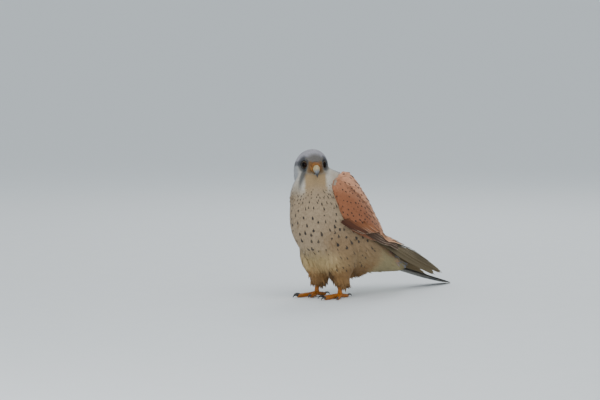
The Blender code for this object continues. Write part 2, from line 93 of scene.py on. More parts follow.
def aboveNeck(bird):
    # height over the sloping line where the head meets the body
    return (bird[..., 2] - neckLine["height"]) - neckLine["slope"] * (bird[..., 1] + neckLine["back"])


def billDistance(bird):
    return np.linalg.norm(toHead(bird) - np.array(headFrame["billRoot"]), axis=-1)


def eyeDistance(bird):
    return np.min([np.linalg.norm(bird - spot, axis=-1) for spot in eyeSpots], axis=0)


def smooth(low, high, value):
    t = np.clip((value - low) / (high - low), 0.0, 1.0)
    return t * t * (3 - 2 * t)


def blendOf(a, b, share):
    share = np.asarray(share)[..., None]
    return np.asarray(a) * (1 - share) + np.asarray(b) * share


def layered(colour, layers):
    for tint, share in layers:
        colour = blendOf(colour, tint, share)
    return colour


def unit(vectors):
    return vectors / np.maximum(np.linalg.norm(vectors, axis=-1, keepdims=True), 1e-9)


def alongSurface(way, normal):
    # the part of a direction that lies in the surface
    return unit(way - normal * (way * normal).sum(-1, keepdims=True))


# body sections: breast y, z, back y, z, half width
bodyRows = [
    (-33, 158, -7, 161, 12.0), (-37, 144, 4, 151, 18.5), (-41.5, 128, 20, 142, 25.5),
    (-45, 111, 35.5, 127, 32.0), (-46, 93, 50, 110, 35.0), (-42.5, 76, 62, 93, 36.2),
    (-33, 60, 73.5, 78.5, 35.8), (-17, 46, 86, 65, 34.5), (4, 35.5, 98, 54, 30.0),
    (31, 29, 110, 45.5, 24.5), (58, 25.5, 120, 39.5, 19.0), (83, 23.5, 128, 34.5, 14.5),
    (104, 22.5, 136, 30.8, 11.0), (121, 21.5, 143, 27.6, 8.0),
]
bedRows = bodyRows[:8] + [
    (9, 43, 101, 59, 32.0), (50, 43, 122, 51, 26.5), (90, 35, 144, 43, 21.0),
    (125, 26, 162, 34.5, 16.0), (154, 17.5, 178, 27, 11.5), (176, 12, 191, 20, 8.0),
    (192, 9.5, 201, 14.3, 5.5),
]
sectionPower = 2.15


def rowAt(rows, place):
    rows = np.asarray(rows, float)
    place = np.clip(np.asarray(place, float), 0, len(rows) - 1)
    start = np.minimum(place.astype(int), len(rows) - 2)
    t = (place - start)[..., None]
    a, b, c, d = (rows[np.clip(start + k, 0, len(rows) - 1)] for k in (-1, 0, 1, 2))
    return 0.5 * (2 * b + (c - a) * t + (2 * a - 5 * b + 4 * c - d) * t * t + (3 * b - a - 3 * c + d) * t ** 3)


def squared(value):
    return np.sign(value) * np.abs(value) ** (2 / sectionPower)


def sectionAt(rows, place, angle):
    lowY, lowZ, highY, highZ, half = np.moveaxis(rowAt(rows, place), -1, 0)
    rise = squared(np.sin(angle))
    return np.stack([squared(np.cos(angle)) * half, (lowY + highY) / 2 + rise * (highY - lowY) / 2,
                     (lowZ + highZ) / 2 + rise * (highZ - lowZ) / 2], -1)


def bedAt(place, degrees, height, side):
    # point and outward normal at a height over the bed that the folded wing lies on
    step = 0.02
    angle = np.radians(degrees)
    here = sectionAt(bedRows, place, angle)
    along = sectionAt(bedRows, place + step, angle) - sectionAt(bedRows, place - step, angle)
    around = sectionAt(bedRows, place, angle + step) - sectionAt(bedRows, place, angle - step)
    normal = unit(np.cross(around, along))
    outward = normal[..., 0] * np.cos(angle) + normal[..., 2] * np.sin(angle)
    normal = normal * np.where(outward < 0, -1.0, 1.0)[..., None]
    point = here + normal * np.asarray(height)[..., None]
    mirror = np.array([side, 1.0, 1.0])
    return point * mirror, normal * mirror


def bedSpot(back, up):
    # place and angle on the bed of a point seen from the side
    low = np.full(np.shape(back), 1.0)
    high = np.full(np.shape(back), len(bedRows) - 1.0)
    for _ in range(40):
        place = (low + high) / 2
        lowY, lowZ, highY, highZ, _half = np.moveaxis(rowAt(bedRows, place), -1, 0)
        beyond = (highY - lowY) * (up - lowZ) - (highZ - lowZ) * (back - lowY) < 0
        low = np.where(beyond, place, low)
        high = np.where(beyond, high, place)
    runY, runZ = highY - lowY, highZ - lowZ
    along = 2 * ((back - lowY) * runY + (up - lowZ) * runZ) / (runY ** 2 + runZ ** 2) - 1
    along = np.clip(along, -0.995, 0.995)
    return place, np.degrees(np.arcsin(np.sign(along) * np.abs(along) ** (sectionPower / 2)))


class Field:
    # one socket's value, so that shader maths reads as sums
    def __init__(self, paint, socket):
        self.paint = paint
        self.socket = socket

    def maths(self, operation, a, b=0.0):
        return self.paint.node("ShaderNodeMath", {"operation": operation}, {0: a, 1: b})

    def __add__(self, other):
        return self.maths("ADD", self, other)

    def __radd__(self, other):
        return self.maths("ADD", other, self)

    def __sub__(self, other):
        return self.maths("SUBTRACT", self, other)

    def __rsub__(self, other):
        return self.maths("SUBTRACT", other, self)

    def __mul__(self, other):
        return self.maths("MULTIPLY", self, other)

    def __rmul__(self, other):
        return self.maths("MULTIPLY", other, self)

    def __truediv__(self, other):
        return self.maths("DIVIDE", self, other)

    def __pow__(self, other):
        return self.maths("POWER", self, other)

    def __abs__(self):
        return self.maths("ABSOLUTE", self)

    def sine(self):
        return self.maths("SINE", self)

    def fraction(self):
        return self.maths("FRACT", self)

    def ramp(self, low, high):
        # 0 below low, 1 above high, eased between
        settings = {"interpolation_type": "SMOOTHSTEP"}
        values = {"Value": self, "From Min": low, "From Max": high}
        return self.paint.node("ShaderNodeMapRange", settings, values)


class Paint:
    # one material and its nodes
    def __init__(self, name):
        self.material = bpy.data.materials.new(name)
        self.material.use_nodes = True
        self.tree = self.material.node_tree
        self.shader = self.tree.nodes["Principled BSDF"]

    def node(self, kind, settings=None, values=None, out=0):
        made = self.tree.nodes.new(kind)
        for key, value in (settings or {}).items():
            if key == "stops":
                for k, (place, colour) in enumerate(value):
                    stop = made.color_ramp.elements[k] if k < 2 else made.color_ramp.elements.new(place)
                    stop.position = place
                    stop.color = (*colour, 1.0)
            else:
                setattr(made, key, value)
        for key, value in (values or {}).items():
            if isinstance(value, Field):
                self.tree.links.new(value.socket, made.inputs[key])
            else:
                made.inputs[key].default_value = value
        return Field(self, made.outputs[out])

    def place(self):
        return self.node("ShaderNodeTexCoord", out=3)

    def attribute(self, name, out=0):
        return self.node("ShaderNodeAttribute", {"attribute_name": name}, out=out)

    def vector(self, operation, values, out=0):
        return self.node("ShaderNodeVectorMath", {"operation": operation}, values, out)

    def parts(self, value, kind="ShaderNodeSeparateXYZ"):
        split = self.node(kind, {}, {0: value})
        return [Field(self, socket) for socket in split.socket.node.outputs]

    def noise(self, vector, scale, detail=3.0, rough=0.55, out=0):
        values = {"Vector": vector, "Scale": scale, "Detail": detail, "Roughness": rough}
        return self.node("ShaderNodeTexNoise", {"noise_dimensions": "3D"}, values, out)

    def mix(self, share, *colours):
        first, second = [item if isinstance(item, Field) else (*item, 1.0) for item in colours]
        return self.node("ShaderNodeMix", {"data_type": "RGBA"}, {0: share, 6: first, 7: second}, 2)

    def bump(self, height, strength, distance=0.0002):
        values = {"Height": height, "Strength": strength, "Distance": distance}
        return self.node("ShaderNodeBump", {}, values)

    def finish(self, **sockets):
        for key, value in sockets.items():
            target = self.shader.inputs[key.replace("_", " ")]
            if isinstance(value, Field):
                self.tree.links.new(value.socket, target)
            else:
                target.default_value = value
        return self.material


plumageFinish = {"barbs": 70.0, "barbDepth": 0.35, "rough": 0.78, "grain": 900.0}


def plumagePaint(name, sheen=0.06):
    # feather colour comes from the mesh; the drops and pale rims are drawn inside each feather, with painted
    # shade toward each root
    paint = Paint(name)
    base = paint.attribute("plumage")
    ink = paint.attribute("inkTint")
    dropShare, rimShare, _ = paint.parts(paint.attribute("marks"), "ShaderNodeSeparateColor")
    dropWidth, dropPlace, _ = paint.parts(paint.attribute("markShape"), "ShaderNodeSeparateColor")
    u, v, _ = paint.parts(paint.node("ShaderNodeUVMap", {"uv_map": "quill"}))
    across = (u - 0.5) * 2.0
    place = paint.place()
    wander = paint.noise(place, 420.0, 3.0) - 0.5
    spread = abs(across + wander * 0.25)
    # a drop pointed toward the root and round toward the tip
    along = v - dropPlace + wander * 0.08
    tail = (dropPlace - v).ramp(0.0, 0.42)
    narrow = dropWidth * (1.0 - tail * 0.85) + 0.02
    drop = (1.0 - (spread / narrow) ** 2.0 - (along * 4.2) ** 2.0 * (1.0 - tail * 0.72)).ramp(-0.2, 0.35)
    rim = (spread ** 2.0 + v ** 9.0).ramp(0.72, 0.98) * v.ramp(0.25, 0.6)
    barbs = ((v + abs(across) * 0.35) * plumageFinish["barbs"] + wander * 4.0).sine()
    shaft = 1.0 - abs(across).ramp(0.02, 0.07)
    fine = paint.noise(place, plumageFinish["grain"], 2.0)
    # darker toward each feather's root: painted shade under the overlapping feathers, with fine grain and
    # barbs
    shade = (0.86 + 0.16 * v) * (0.9 + 0.2 * fine) * (1.0 + 0.05 * barbs)
    toned = paint.vector("SCALE", {0: base, "Scale": shade})
    coloured = paint.mix(rimShare * rim, toned, paint.attribute("rimTint"))
    coloured = paint.mix(dropShare * drop, coloured, ink)
    coloured = paint.mix(shaft * 0.25, coloured, ink)
    height = barbs * 0.35 + fine * 0.4 + shaft * 0.8
    return paint.finish(Base_Color=coloured, Roughness=plumageFinish["rough"] - 0.1 * shaft,
                        Normal=paint.bump(height, plumageFinish["barbDepth"]), Specular_IOR_Level=0.25,
                        Sheen_Weight=sheen, Sheen_Roughness=0.5)


def skinPaint(name):
    paint = Paint(name)
    down = paint.noise(paint.place(), 700.0, 4.0)
    toned = paint.vector("SCALE", {0: paint.attribute("plumage"), "Scale": 0.45 + 0.4 * down})
    return paint.finish(Base_Color=toned, Roughness=0.9, Normal=paint.bump(down, 0.5, 0.0004),
                        Specular_IOR_Level=0.1)


def clearSelection():
    if bpy.context.object and bpy.context.object.mode != "OBJECT":
        bpy.ops.object.mode_set(mode="OBJECT")
    bpy.ops.object.select_all(action="DESELECT")


def activate(pieces, lead=0):
    clearSelection()
    for piece in pieces:
        piece.select_set(True)
    bpy.context.view_layer.objects.active = pieces[lead]


def startPiece(name):
    piece = bpy.context.object
    piece.name = name
    piece.data.name = name
    return piece


def joinPieces(name, pieces, lead=0):
    activate(pieces, lead)
    bpy.ops.object.join()
    return startPiece(name)


def editAll(*steps):
    # edit-mode operations, each on everything
    bpy.ops.object.mode_set(mode="EDIT")
    for step, settings in steps:
        bpy.ops.mesh.select_all(action="SELECT")
        step(**settings)
    bpy.ops.object.mode_set(mode="OBJECT")


def cutAcross(heights):
    editAll(*[(bpy.ops.mesh.bisect, {"plane_co": (0, 0, height), "plane_no": (0, 0, 1)})
              for height in heights])


def facesOut():
    editAll((bpy.ops.mesh.normals_make_consistent, {"inside": False}))


def unwrap(piece, margin):
    editAll((bpy.ops.uv.smart_project, {"angle_limit": math.radians(66), "island_margin": margin}))
    piece.data.uv_layers[0].name = "OFBake"


def readAll(items, key, width=1, kind=float):
    # one property of every vertex, corner or face
    values = np.zeros(len(items) * width, kind)
    items.foreach_get(key, values)
    return values.reshape(-1, width) if width > 1 else values


def setColours(mesh, name, colours):
    # a colour on every vertex
    wide = np.ones((*colours.shape[:-1], 4), np.float32)
    wide[..., :3] = colours
    mesh.attributes.new(name, "FLOAT_COLOR", "POINT").data.foreach_set("color", wide.ravel())


def chooseVerts(piece, chosen):
    # selects vertices by a test on their place, in edit mode
    bpy.ops.object.mode_set(mode="OBJECT")
    for vert in piece.data.vertices:
        vert.select = bool(chosen(vert.co))
    for edge in piece.data.edges:
        edge.select = all(piece.data.vertices[k].select for k in edge.vertices)
    for face in piece.data.polygons:
        face.select = all(piece.data.vertices[k].select for k in face.vertices)
    bpy.ops.object.mode_set(mode="EDIT")


def applyAll(piece):
    activate([piece])
    for modifier in list(piece.modifiers):
        bpy.ops.object.modifier_apply(modifier=modifier.name)
    bpy.ops.object.transform_apply(location=True, rotation=True, scale=True)


def dress(piece, materialOf, slotName, *replaced):
    piece.data.materials.clear()
    piece.data.materials.append(materialOf)
    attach(piece, "root")
    if replaced:
        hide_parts(*replaced)
    return piece


skinSizes = {"voxel": 0.0013, "rounds": 5, "covertPlaces": (8.0, 13.0), "headDepth": (0.45, 1.1),
             "bodyDepth": 2.4}


def coatDepth(bird):
    # how far the skin lies inside the solids, in millimetres
    least, more = skinSizes["headDepth"]
    headDepth = least + more * smooth(4.0, 34.0, billDistance(bird))
    onBody = smooth(8.0, -22.0, aboveNeck(bird))
    return headDepth * (1 - onBody) + skinSizes["bodyDepth"] * onBody


def makeSkin():
    clearSelection()
    copies = []
    for name in ("head", "neck", "torso", "thigh_left", "thigh_right"):
        part = bpy.data.objects.new("skinPart_" + name, nodes[name].data.copy())
        bpy.context.scene.collection.objects.link(part)
        copies.append(part)
    # the tail coverts' cone, from a cylinder set to the body's sections
    bpy.ops.mesh.primitive_cylinder_add(vertices=32, radius=1.0, depth=2.0, end_fill_type="TRIFAN")
    cone = startPiece("skinPart_coverts")
    cutAcross(np.linspace(-0.75, 0.75, 7))
    first, last = skinSizes["covertPlaces"]
    for vert in cone.data.vertices:
        place = np.array(first + (last - first) * (vert.co.z + 1) / 2)
        spread, angle = math.hypot(vert.co.x, vert.co.y), math.atan2(vert.co.y, vert.co.x)
        rim, opposite = [sectionAt(bodyRows, place, np.array(angle + turn)) for turn in (0.0, math.pi)]
        vert.co = toScene((rim + opposite) / 2 + (rim - opposite) / 2 * spread)
    skin = joinPieces("kestrel_skin", copies + [cone], 2)
    editAll((bpy.ops.mesh.remove_doubles, {"threshold": 0.00001}))
    remesh = skin.modifiers.new("remesh", "REMESH")
    remesh.mode = "VOXEL"
    remesh.voxel_size = skinSizes["voxel"]
    soften = skin.modifiers.new("soften", "SMOOTH")
    soften.factor = 0.5
    soften.iterations = skinSizes["rounds"]
    applyAll(skin)
    mesh = skin.data
    co, normal = [readAll(mesh.vertices, key, 3) for key in ("co", "normal")]
    co = co - normal * coatDepth(toBird(co))[:, None] * mm
    co[:, 2] = np.maximum(co[:, 2], birdOrigin[2] + 0.004)
    mesh.vertices.foreach_set("co", co.ravel())
    mesh.update()
    even = skin.modifiers.new("even", "SMOOTH")
    even.factor = 0.4
    even.iterations = 3
    applyAll(skin)
    unwrap(skin, 0.004)
    bpy.ops.object.shade_smooth()
    return skin


# plumage colours by their place on the bird; the flank tint also carries painted shade from the folded wing
tints = {
    "crown": (0.32, 0.305, 0.33), "nape": (0.32, 0.305, 0.325), "forehead": (0.124, 0.112, 0.103),
    "cheek": (0.30, 0.305, 0.31), "cheekFront": (0.53, 0.485, 0.41), "stripe": (0.034, 0.036, 0.04),
    "lore": (0.19, 0.14, 0.085),
    "throat": (0.325, 0.222, 0.115), "breast": (0.31, 0.228, 0.145), "belly": (0.415, 0.3, 0.14),
    "flank": (0.225, 0.138, 0.066), "thigh": (0.235, 0.128, 0.048), "vent": (0.29, 0.235, 0.118),
    "mantle": (0.56, 0.285, 0.18), "rump": (0.27, 0.26, 0.28), "ink": (0.022, 0.018, 0.017),
    "neckSide": (0.46, 0.40, 0.32), "brow": (0.27, 0.23, 0.16), "loreDeep": (0.15, 0.078, 0.028),
}


def distanceToLine(points, start, end):
    start, end = np.asarray(start, float), np.asarray(end, float)
    run = end - start
    share = np.clip((points - start) @ run / (run @ run), 0, 1)
    return np.linalg.norm(points - start - share[:, None] * run, axis=-1), share


def plumageAt(bird, normal):
    # the base colour of the plumage at points of the skin: each layer covers the ones before it
    ahead, side, up = toHead(bird).T
    aside = np.abs(side)
    wide, back, high = np.abs(bird[:, 0]), bird[:, 1], bird[:, 2]
    folded = np.stack([ahead, aside, up], -1)
    level = aboveNeck(bird)
    onBack = smooth(0.3, 0.6, normal[:, 2] + normal[:, 1] * 0.45) * smooth(-2, 18, back + (high - 100) * 0.25)
    colour = layered(np.tile(np.array(tints["breast"]), (len(bird), 1)), [
        (tints["belly"], smooth(78, 48, high)),
        # flank: buff flank colour, darkened further as painted shade where the folded wing shades the side of
        # the breast
        (tints["flank"], smooth(17, 30, wide) * smooth(106, 74, high) * 0.8),
        (tints["thigh"], smooth(52, 36, high) * smooth(62, 40, back)),
        (tints["vent"], smooth(45, 68, back) * smooth(0.25, -0.25, normal[:, 2])),
        (tints["mantle"], onBack * smooth(34, 24, wide) * smooth(30, 0, level)),
        (tints["rump"], smooth(55, 75, back) * smooth(0.2, 0.5, normal[:, 2]) * smooth(20, 12, wide)),
    ])
    fromStripe, down = distanceToLine(folded, (10.0, 9.8, -5.0), (7.0, 13.8, -27.0))
    fromLine, rear = distanceToLine(folded, (8.0, 12.5, 3.2), (-7.0, 19.5, 0.8))
    fromBrow, _ = distanceToLine(folded, (14.5, 6.0, 5.0), (9.5, 10.0, 7.6))
    fromEye = np.linalg.norm(folded - np.array(headFrame["eye"]), axis=-1)
    hood = layered(np.tile(np.array(tints["crown"]), (len(bird), 1)), [
        (tints["nape"], smooth(-5, -18, ahead)),
        (tints["forehead"], smooth(9, 14.5, ahead) * smooth(-1, 5, up)),
        (blendOf(tints["cheek"], tints["cheekFront"], smooth(-2, 8, ahead)),
         smooth(3.0, -1.5, up) * smooth(-17, -9, ahead)),
        (tints["throat"], smooth(-5.5, -8.5, up) * smooth(12.0, 8.5, aside) * smooth(-8, 4, ahead)),
        (tints["lore"], smooth(11, 15, ahead) * smooth(6, 2, up) * smooth(-10, -6, up)),
        (tints["stripe"], smooth(5.6 + 1.8 * down, 2.0, fromStripe) * (0.85 - 0.45 * smooth(2, 7, side))),
        (tints["stripe"], smooth(3.4, 1.2, fromLine) * (0.85 - 0.3 * rear)),
        (tints["neckSide"], smooth(14, 18, aside) * smooth(-3, -10, up) * smooth(-3, 5, ahead) * 0.9),
        (tints["stripe"], smooth(9.6, 6.2, fromEye) * 0.85),
        (tints["brow"], smooth(1.5, 0.5, fromBrow) * 0.3),
        (tints["loreDeep"], smooth(12.0, 14.5, ahead) * smooth(9.0, 5.5, aside) * smooth(5.6, 3.6, up)
         * smooth(-8, -4, up)),
    ])
    onHead = smooth(-14, 2, level) * smooth(-30, -12, up + 0.6 * aside - 9 * smooth(4, -8, ahead))
    return blendOf(colour, hood, onHead)


def makeTemplate(name, columns, rows, widths, notch=0.0, domed=False):
    # a flat feather one long and two wide, narrowed row by row, its tip notched into barbs, then closed below
    clearSelection()
    bpy.ops.mesh.primitive_grid_add(x_subdivisions=columns, y_subdivisions=rows, size=2.0)
    piece = startPiece(name)
    editAll((bpy.ops.transform.translate, {"value": (0, 1, 0)}),
            (bpy.ops.transform.resize, {"value": (1, 0.5, 1), "center_override": (0, 0, 0)}))
    places = [place for place, _ in widths]
    sizes = [size for _, size in widths]
    for k in range(rows + 1):
        y = k / rows
        chooseVerts(piece, lambda co: abs(co.y - y) < 0.2 / rows)
        width = float(np.interp(y, places, sizes))
        bpy.ops.transform.resize(value=(width, 1, 1), center_override=(0, y, 0))
    bpy.ops.object.mode_set(mode="OBJECT")
    for vert in piece.data.vertices:
        x, y = vert.co.x / sizes[-1], vert.co.y
        if y > 1 - 0.5 / rows:
            column = round((x + 1) * columns / 2)
            vert.co.y = y - 0.1 * x ** 2 - (notch if column % 2 == 0 else 0.0)
    if domed:
        bpy.ops.object.mode_set(mode="EDIT")
        bpy.ops.mesh.select_mode(type="EDGE")
        bpy.ops.mesh.select_all(action="DESELECT")
        bpy.ops.mesh.select_non_manifold()
        bpy.ops.mesh.edge_face_add()
        bpy.ops.mesh.select_mode(type="VERT")
        bpy.ops.object.mode_set(mode="OBJECT")
    else:
        solid = piece.modifiers.new("solid", "SOLIDIFY")
        solid.thickness = 1.0
        solid.offset = 0.0
        applyAll(piece)
    mesh = piece.data
    co = readAll(mesh.vertices, "co", 3)
    edge = np.interp(co[:, 1], places, sizes)
    across = np.abs(co[:, 0]) / np.maximum(edge, 1e-6)
    if domed:
        inside = (across < 0.99) & (co[:, 1] > 0.01) & (co[:, 1] < 1 - 0.5 / rows)
        co[:, 2] = np.where(inside, 1.1 - 0.5 * across ** 2, 0.0)
    else:
        co[:, 2] = np.sign(co[:, 2]) * 0.5 * (1 - 0.75 * across ** 2) * (1.1 - 0.6 * co[:, 1])
    starts, totals = [readAll(mesh.polygons, key, kind=np.int32) for key in ("loop_start", "loop_total")]
    corners = readAll(mesh.loops, "vertex_index", kind=np.int32)
    bpy.data.objects.remove(piece, do_unlink=True)
    return {"co": co, "starts": starts, "corners": corners, "triangles": int(np.sum(totals - 2))}


def quillOf(template):
    # inside a feather: half is the shaft across, 1 is the tip along
    return np.stack([template["co"][:, 0] / 2 + 0.5, template["co"][:, 1]], -1)


def joinFeathers(name, template, placed, colours, bakeRoots):
    # many copies of a template as one mesh; placed is feathers by vertices by xyz
    many, each, _ = placed.shape
    loops = len(template["corners"])
    mesh = bpy.data.meshes.new(name)
    mesh.vertices.add(many * each)
    mesh.vertices.foreach_set("co", placed.ravel())
    mesh.loops.add(many * loops)
    shift = (np.arange(many, dtype=np.int32) * each)[:, None]
    mesh.loops.foreach_set("vertex_index", (template["corners"][None, :] + shift).ravel())
    mesh.polygons.add(many * len(template["starts"]))
    jump = (np.arange(many, dtype=np.int32) * loops)[:, None]
    mesh.polygons.foreach_set("loop_start", (template["starts"][None, :] + jump).ravel())
    mesh.update(calc_edges=True)
    local = quillOf(template)
    quill = mesh.uv_layers.new(name="quill")
    quill.uv.foreach_set("vector", np.tile(local[template["corners"]], (many, 1)).ravel())
    patch = mesh.uv_layers.new(name="OFBake")
    spot = (local[template["corners"]] - 0.5)[None] * np.array(coatSizes["patch"]) + bakeRoots[:, None, :]
    patch.uv.foreach_set("vector", np.clip(spot, 0.0, 1.0).ravel())
    for key, values in colours.items():
        values = values if values.ndim == 3 else values[:, None, :]
        setColours(mesh, key, np.broadcast_to(values, (many, each, 3)))
    mesh.shade_smooth()
    mesh.set_sharp_from_angle(angle=math.radians(70))
    piece = bpy.data.objects.new(name, mesh)
    bpy.context.scene.collection.objects.link(piece)
    return piece


coatSizes = {"seed": 7, "rowShare": 0.135, "sizeSpread": 0.1, "toneSpread": 0.045, "tries": 7, "sink": 0.12,
             "patch": (0.002, 0.003), "strayLift": (0.6, 1.8), "lidGap": 5.6, "soleGap": 19.0}


def featherLength(bird):
    onHead = 1.9 + 0.1 * np.clip(billDistance(bird), 0, 46)
    onBody = 10.0 + 5.0 * smooth(120, 60, bird[..., 2]) + 7.0 * smooth(60, 105, bird[..., 1])
    thigh = smooth(42, 28, bird[..., 2]) * smooth(50, 35, bird[..., 1])
    onBody = onBody * (1 - thigh) + 15.0 * thigh
    onHead = onHead * (1 - 0.5 * smooth(10, 6, eyeDistance(bird)))
    return blendOf(onHead[..., None], onBody[..., None], smooth(4, -24, aboveNeck(bird)))[..., 0]


def featherLie(bird, normal):
    # the way the feathers point: back from the bill over the head, then down the body to the tail
    away = unit(bird - inHead(*headFrame["billPoint"]))
    rows = np.asarray(bodyRows, float)
    spots = np.linspace(0, len(rows) - 1, 200)
    middle = rowAt(rows, spots)
    line = np.stack([np.zeros(200), (middle[:, 0] + middle[:, 2]) / 2, (middle[:, 1] + middle[:, 3]) / 2], -1)
    way = unit(np.gradient(line, axis=0))
    down = way[np.argmin(((bird[:, None, 1:] - line[None, :, 1:]) ** 2).sum(-1), axis=1)]
    legs = smooth(44, 30, bird[:, 2]) * smooth(55, 35, bird[:, 1])
    down = unit(blendOf(down, (0.0, 0.25, -1.0), legs))
    lie = alongSurface(unit(blendOf(down, away, smooth(-26, 6, aboveNeck(bird)))), normal)
    # round the eyes they turn away from the lids
    for spot in eyeSpots:
        near = smooth(10.0, 6.0, np.linalg.norm(bird - spot, axis=-1))[:, None]
        lie = unit(lie + alongSurface(bird - spot, normal) * near * 1.6)
    free = hanging(bird)[:, None] * 0.55
    return unit(lie * (1 - free) + np.array([0.0, 0.12, -1.0]) * free)


def neckFill(bird):
    # fuller plumage where the head meets the neck, so that no waist shows
    level = aboveNeck(bird)
    return 2.4 * smooth(-20, -8, level) * smooth(10, -2, level) * smooth(9, 3, toHead(bird)[:, 0])


def hanging(bird):
    # 1 where the thigh and belly feathers hang free over the legs
    low = smooth(38, 27, bird[:, 2]) * smooth(58, 40, bird[:, 1])
    between = smooth(56, 44, bird[:, 2]) * smooth(17, 11, np.abs(bird[:, 0])) * smooth(45, 25, bird[:, 1])
    return np.maximum(low, between)


def ringLength(bird):
    # the hanging feathers stand closer than their length alone would ask
    return featherLength(bird) * (1 - 0.38 * hanging(bird)) * (1 - 0.24 * smooth(76, 66, bird[:, 2]))


def clearRings(points, ring, order):
    # takes the points in turn, each one ruling out the others within its ring
    tree = KDTree(len(points))
    for k, point in enumerate(points):
        tree.insert(point, k)
    tree.balance()
    alive = np.ones(len(points), bool)
    kept = []
    for k in order:
        if alive[k]:
            kept.append(k)
            for _, other, _ in tree.find_range(points[k], ring[k]):
                alive[other] = False
    return np.array(kept)


def scatterRoots(skin, seed, grows, lengthAt):
    # uneven but spaced roots: each one clears a ring the size of its own feather row
    draw = np.random.default_rng(seed)
    mesh = skin.data
    mesh.calc_loop_triangles()
    corners, loopsOf = [readAll(mesh.loop_triangles, key, 3, np.int32) for key in ("vertices", "loops")]
    co, normals = [readAll(mesh.vertices, key, 3) for key in ("co", "normal")]
    uv = readAll(mesh.uv_layers["OFBake"].uv, "vector", 2)
    triangle = co[corners]
    edges = triangle[:, 1:] - triangle[:, :1]
    area = np.linalg.norm(np.cross(edges[:, 0], edges[:, 1]), axis=-1) / 2
    middle = toBird(triangle.mean(1))
    spacing = lengthAt(middle) * coatSizes["rowShare"] * mm
    weight = area / spacing ** 2 * grows(middle)
    number = int(weight.sum() * coatSizes["tries"])
    picked = draw.choice(len(weight), size=number, p=weight / weight.sum())
    a, b = draw.random(number), draw.random(number)
    flip = a + b > 1
    a[flip], b[flip] = 1 - a[flip], 1 - b[flip]
    share = np.stack([1 - a - b, a, b], -1)[..., None]
    points = (triangle[picked] * share).sum(1)
    spotNormals = unit((normals[corners[picked]] * share).sum(1))
    spotUv = (uv[loopsOf[picked]] * share).sum(1)
    ring = lengthAt(toBird(points)) * coatSizes["rowShare"] * mm
    kept = clearRings(points, ring, range(number))
    return points[kept], spotNormals[kept], spotUv[kept]


def spacedPick(points, ring, seed):
    # a wider spaced choice among the roots, for the feathers that carry a dark mark
    chosen = np.zeros(len(points), bool)
    chosen[clearRings(points, ring, np.random.default_rng(seed).permutation(len(points)))] = True
    return chosen


def markTables(bird, chosen, draw):
    # the strength of each feather's drop and rim, then the drop's half width and place
    many = len(bird)
    level = aboveNeck(bird)
    lowness = smooth(120, 92, bird[:, 2])
    under = smooth(30, 52, bird[:, 1])
    belly = smooth(66, 50, bird[:, 2]) * smooth(30, 20, np.abs(bird[:, 0]))
    thigh = smooth(48, 38, bird[:, 2]) * smooth(50, 30, bird[:, 1])
    marks, shape = np.zeros((many, 3)), np.zeros((many, 3))
    onBody = smooth(0, -10, level) * (1 - under * 0.9) * (1 - thigh * 0.85) * (1 - belly * 0.8)
    strength = np.where(draw.random(many) < onBody, draw.uniform(0.8, 1.0, many), 0.0)
    marks[:, 0] = chosen * strength
    shape[:, 0] = 0.32 + 0.16 * lowness + draw.uniform(-0.04, 0.06, many)
    shape[:, 1] = 0.83 + draw.uniform(-0.03, 0.03, many)
    crown = smooth(-2, 4, toHead(bird)[:, 2]) * smooth(0, 12, level)
    marks[:, 0] = np.maximum(marks[:, 0], crown * (draw.random(many) < 0.16) * draw.uniform(0.2, 0.5, many))
    shape[:, 0] = np.where(crown > 0.4, 0.2, shape[:, 0])
    marks[:, 1] = 0.12 * smooth(0, -20, level)
    return marks, shape


def wrapOnto(tree, flat, high, normals, share):
    # sets every point at its own height over the nearest place of the surface
    placed = np.empty_like(flat)
    for k in range(len(flat)):
        found, normal, _, _ = tree.find_nearest(flat[k])
        placed[k] = np.array(found) + np.array(normal) * high[k]
    return placed * share + (flat + normals * high[:, None]) * (1 - share)


def layCoat(name, tree, template, roots, length, lie, lift, looks, shapes, seed):
    # lays one feather on every root, wraps it round the surface and joins them
    draw = np.random.default_rng(seed)
    points, normals, uv = roots
    many = len(points)
    loose = hanging(toBird(points)) if shapes.get("hang") else np.zeros(many)
    length = length * (1 + draw.normal(0, coatSizes["sizeSpread"], many).clip(-0.2, 0.2))
    aside = unit(np.cross(lie, normals))
    turn = draw.normal(0, shapes["turn"], many)[:, None]
    lie, aside = lie * np.cos(turn) + aside * np.sin(turn), aside * np.cos(turn) - lie * np.sin(turn)
    co = template["co"]
    width = length * shapes["width"]
    lift = lift * shapes["lift"] * (1 + draw.uniform(-0.04, 0.04, many) + 0.1 * (looks["marks"][:, 0] > 0.6))
    stray = (draw.random(many) < shapes.get("stray", 0.0)) * (normals[:, 1] > -0.6)
    lift = lift + stray * draw.uniform(*coatSizes["strayLift"], many)
    length = length * (1 + 0.2 * stray)
    free = (points[:, None, :] + lie[:, None, :] * (co[None, :, 1:2] * length[:, None, None] * mm)
            + aside[:, None, :] * (co[None, :, 0:1] * width[:, None, None] / 2 * mm))
    y = np.clip(co[:, 1], 0, 1)
    rise = (1 - shapes["step"]) * (1 - (1 - y) ** 2) + shapes["step"] * y
    rise = rise[None, :] * lift[:, None] - coatSizes["sink"]
    rise = rise - shapes["curl"] * (co[None, :, 0] ** 2) * width[:, None] / 8
    rise = rise + co[None, :, 2] * shapes["thick"]
    normalRepeat = np.repeat(normals, len(co), axis=0)
    share = shapes["wrap"] * (1 - np.repeat(loose, len(co)))[:, None]
    placed = wrapOnto(tree, free.reshape(-1, 3), rise.ravel() * mm, normalRepeat, share)
    placed[:, 2] = np.maximum(placed[:, 2], birdOrigin[2] + 0.003)
    piece = joinFeathers(name, template, placed.reshape(many, len(co), 3), looks, uv)
    print(name, many, "feathers,", many * template["triangles"], "triangles")
    return piece


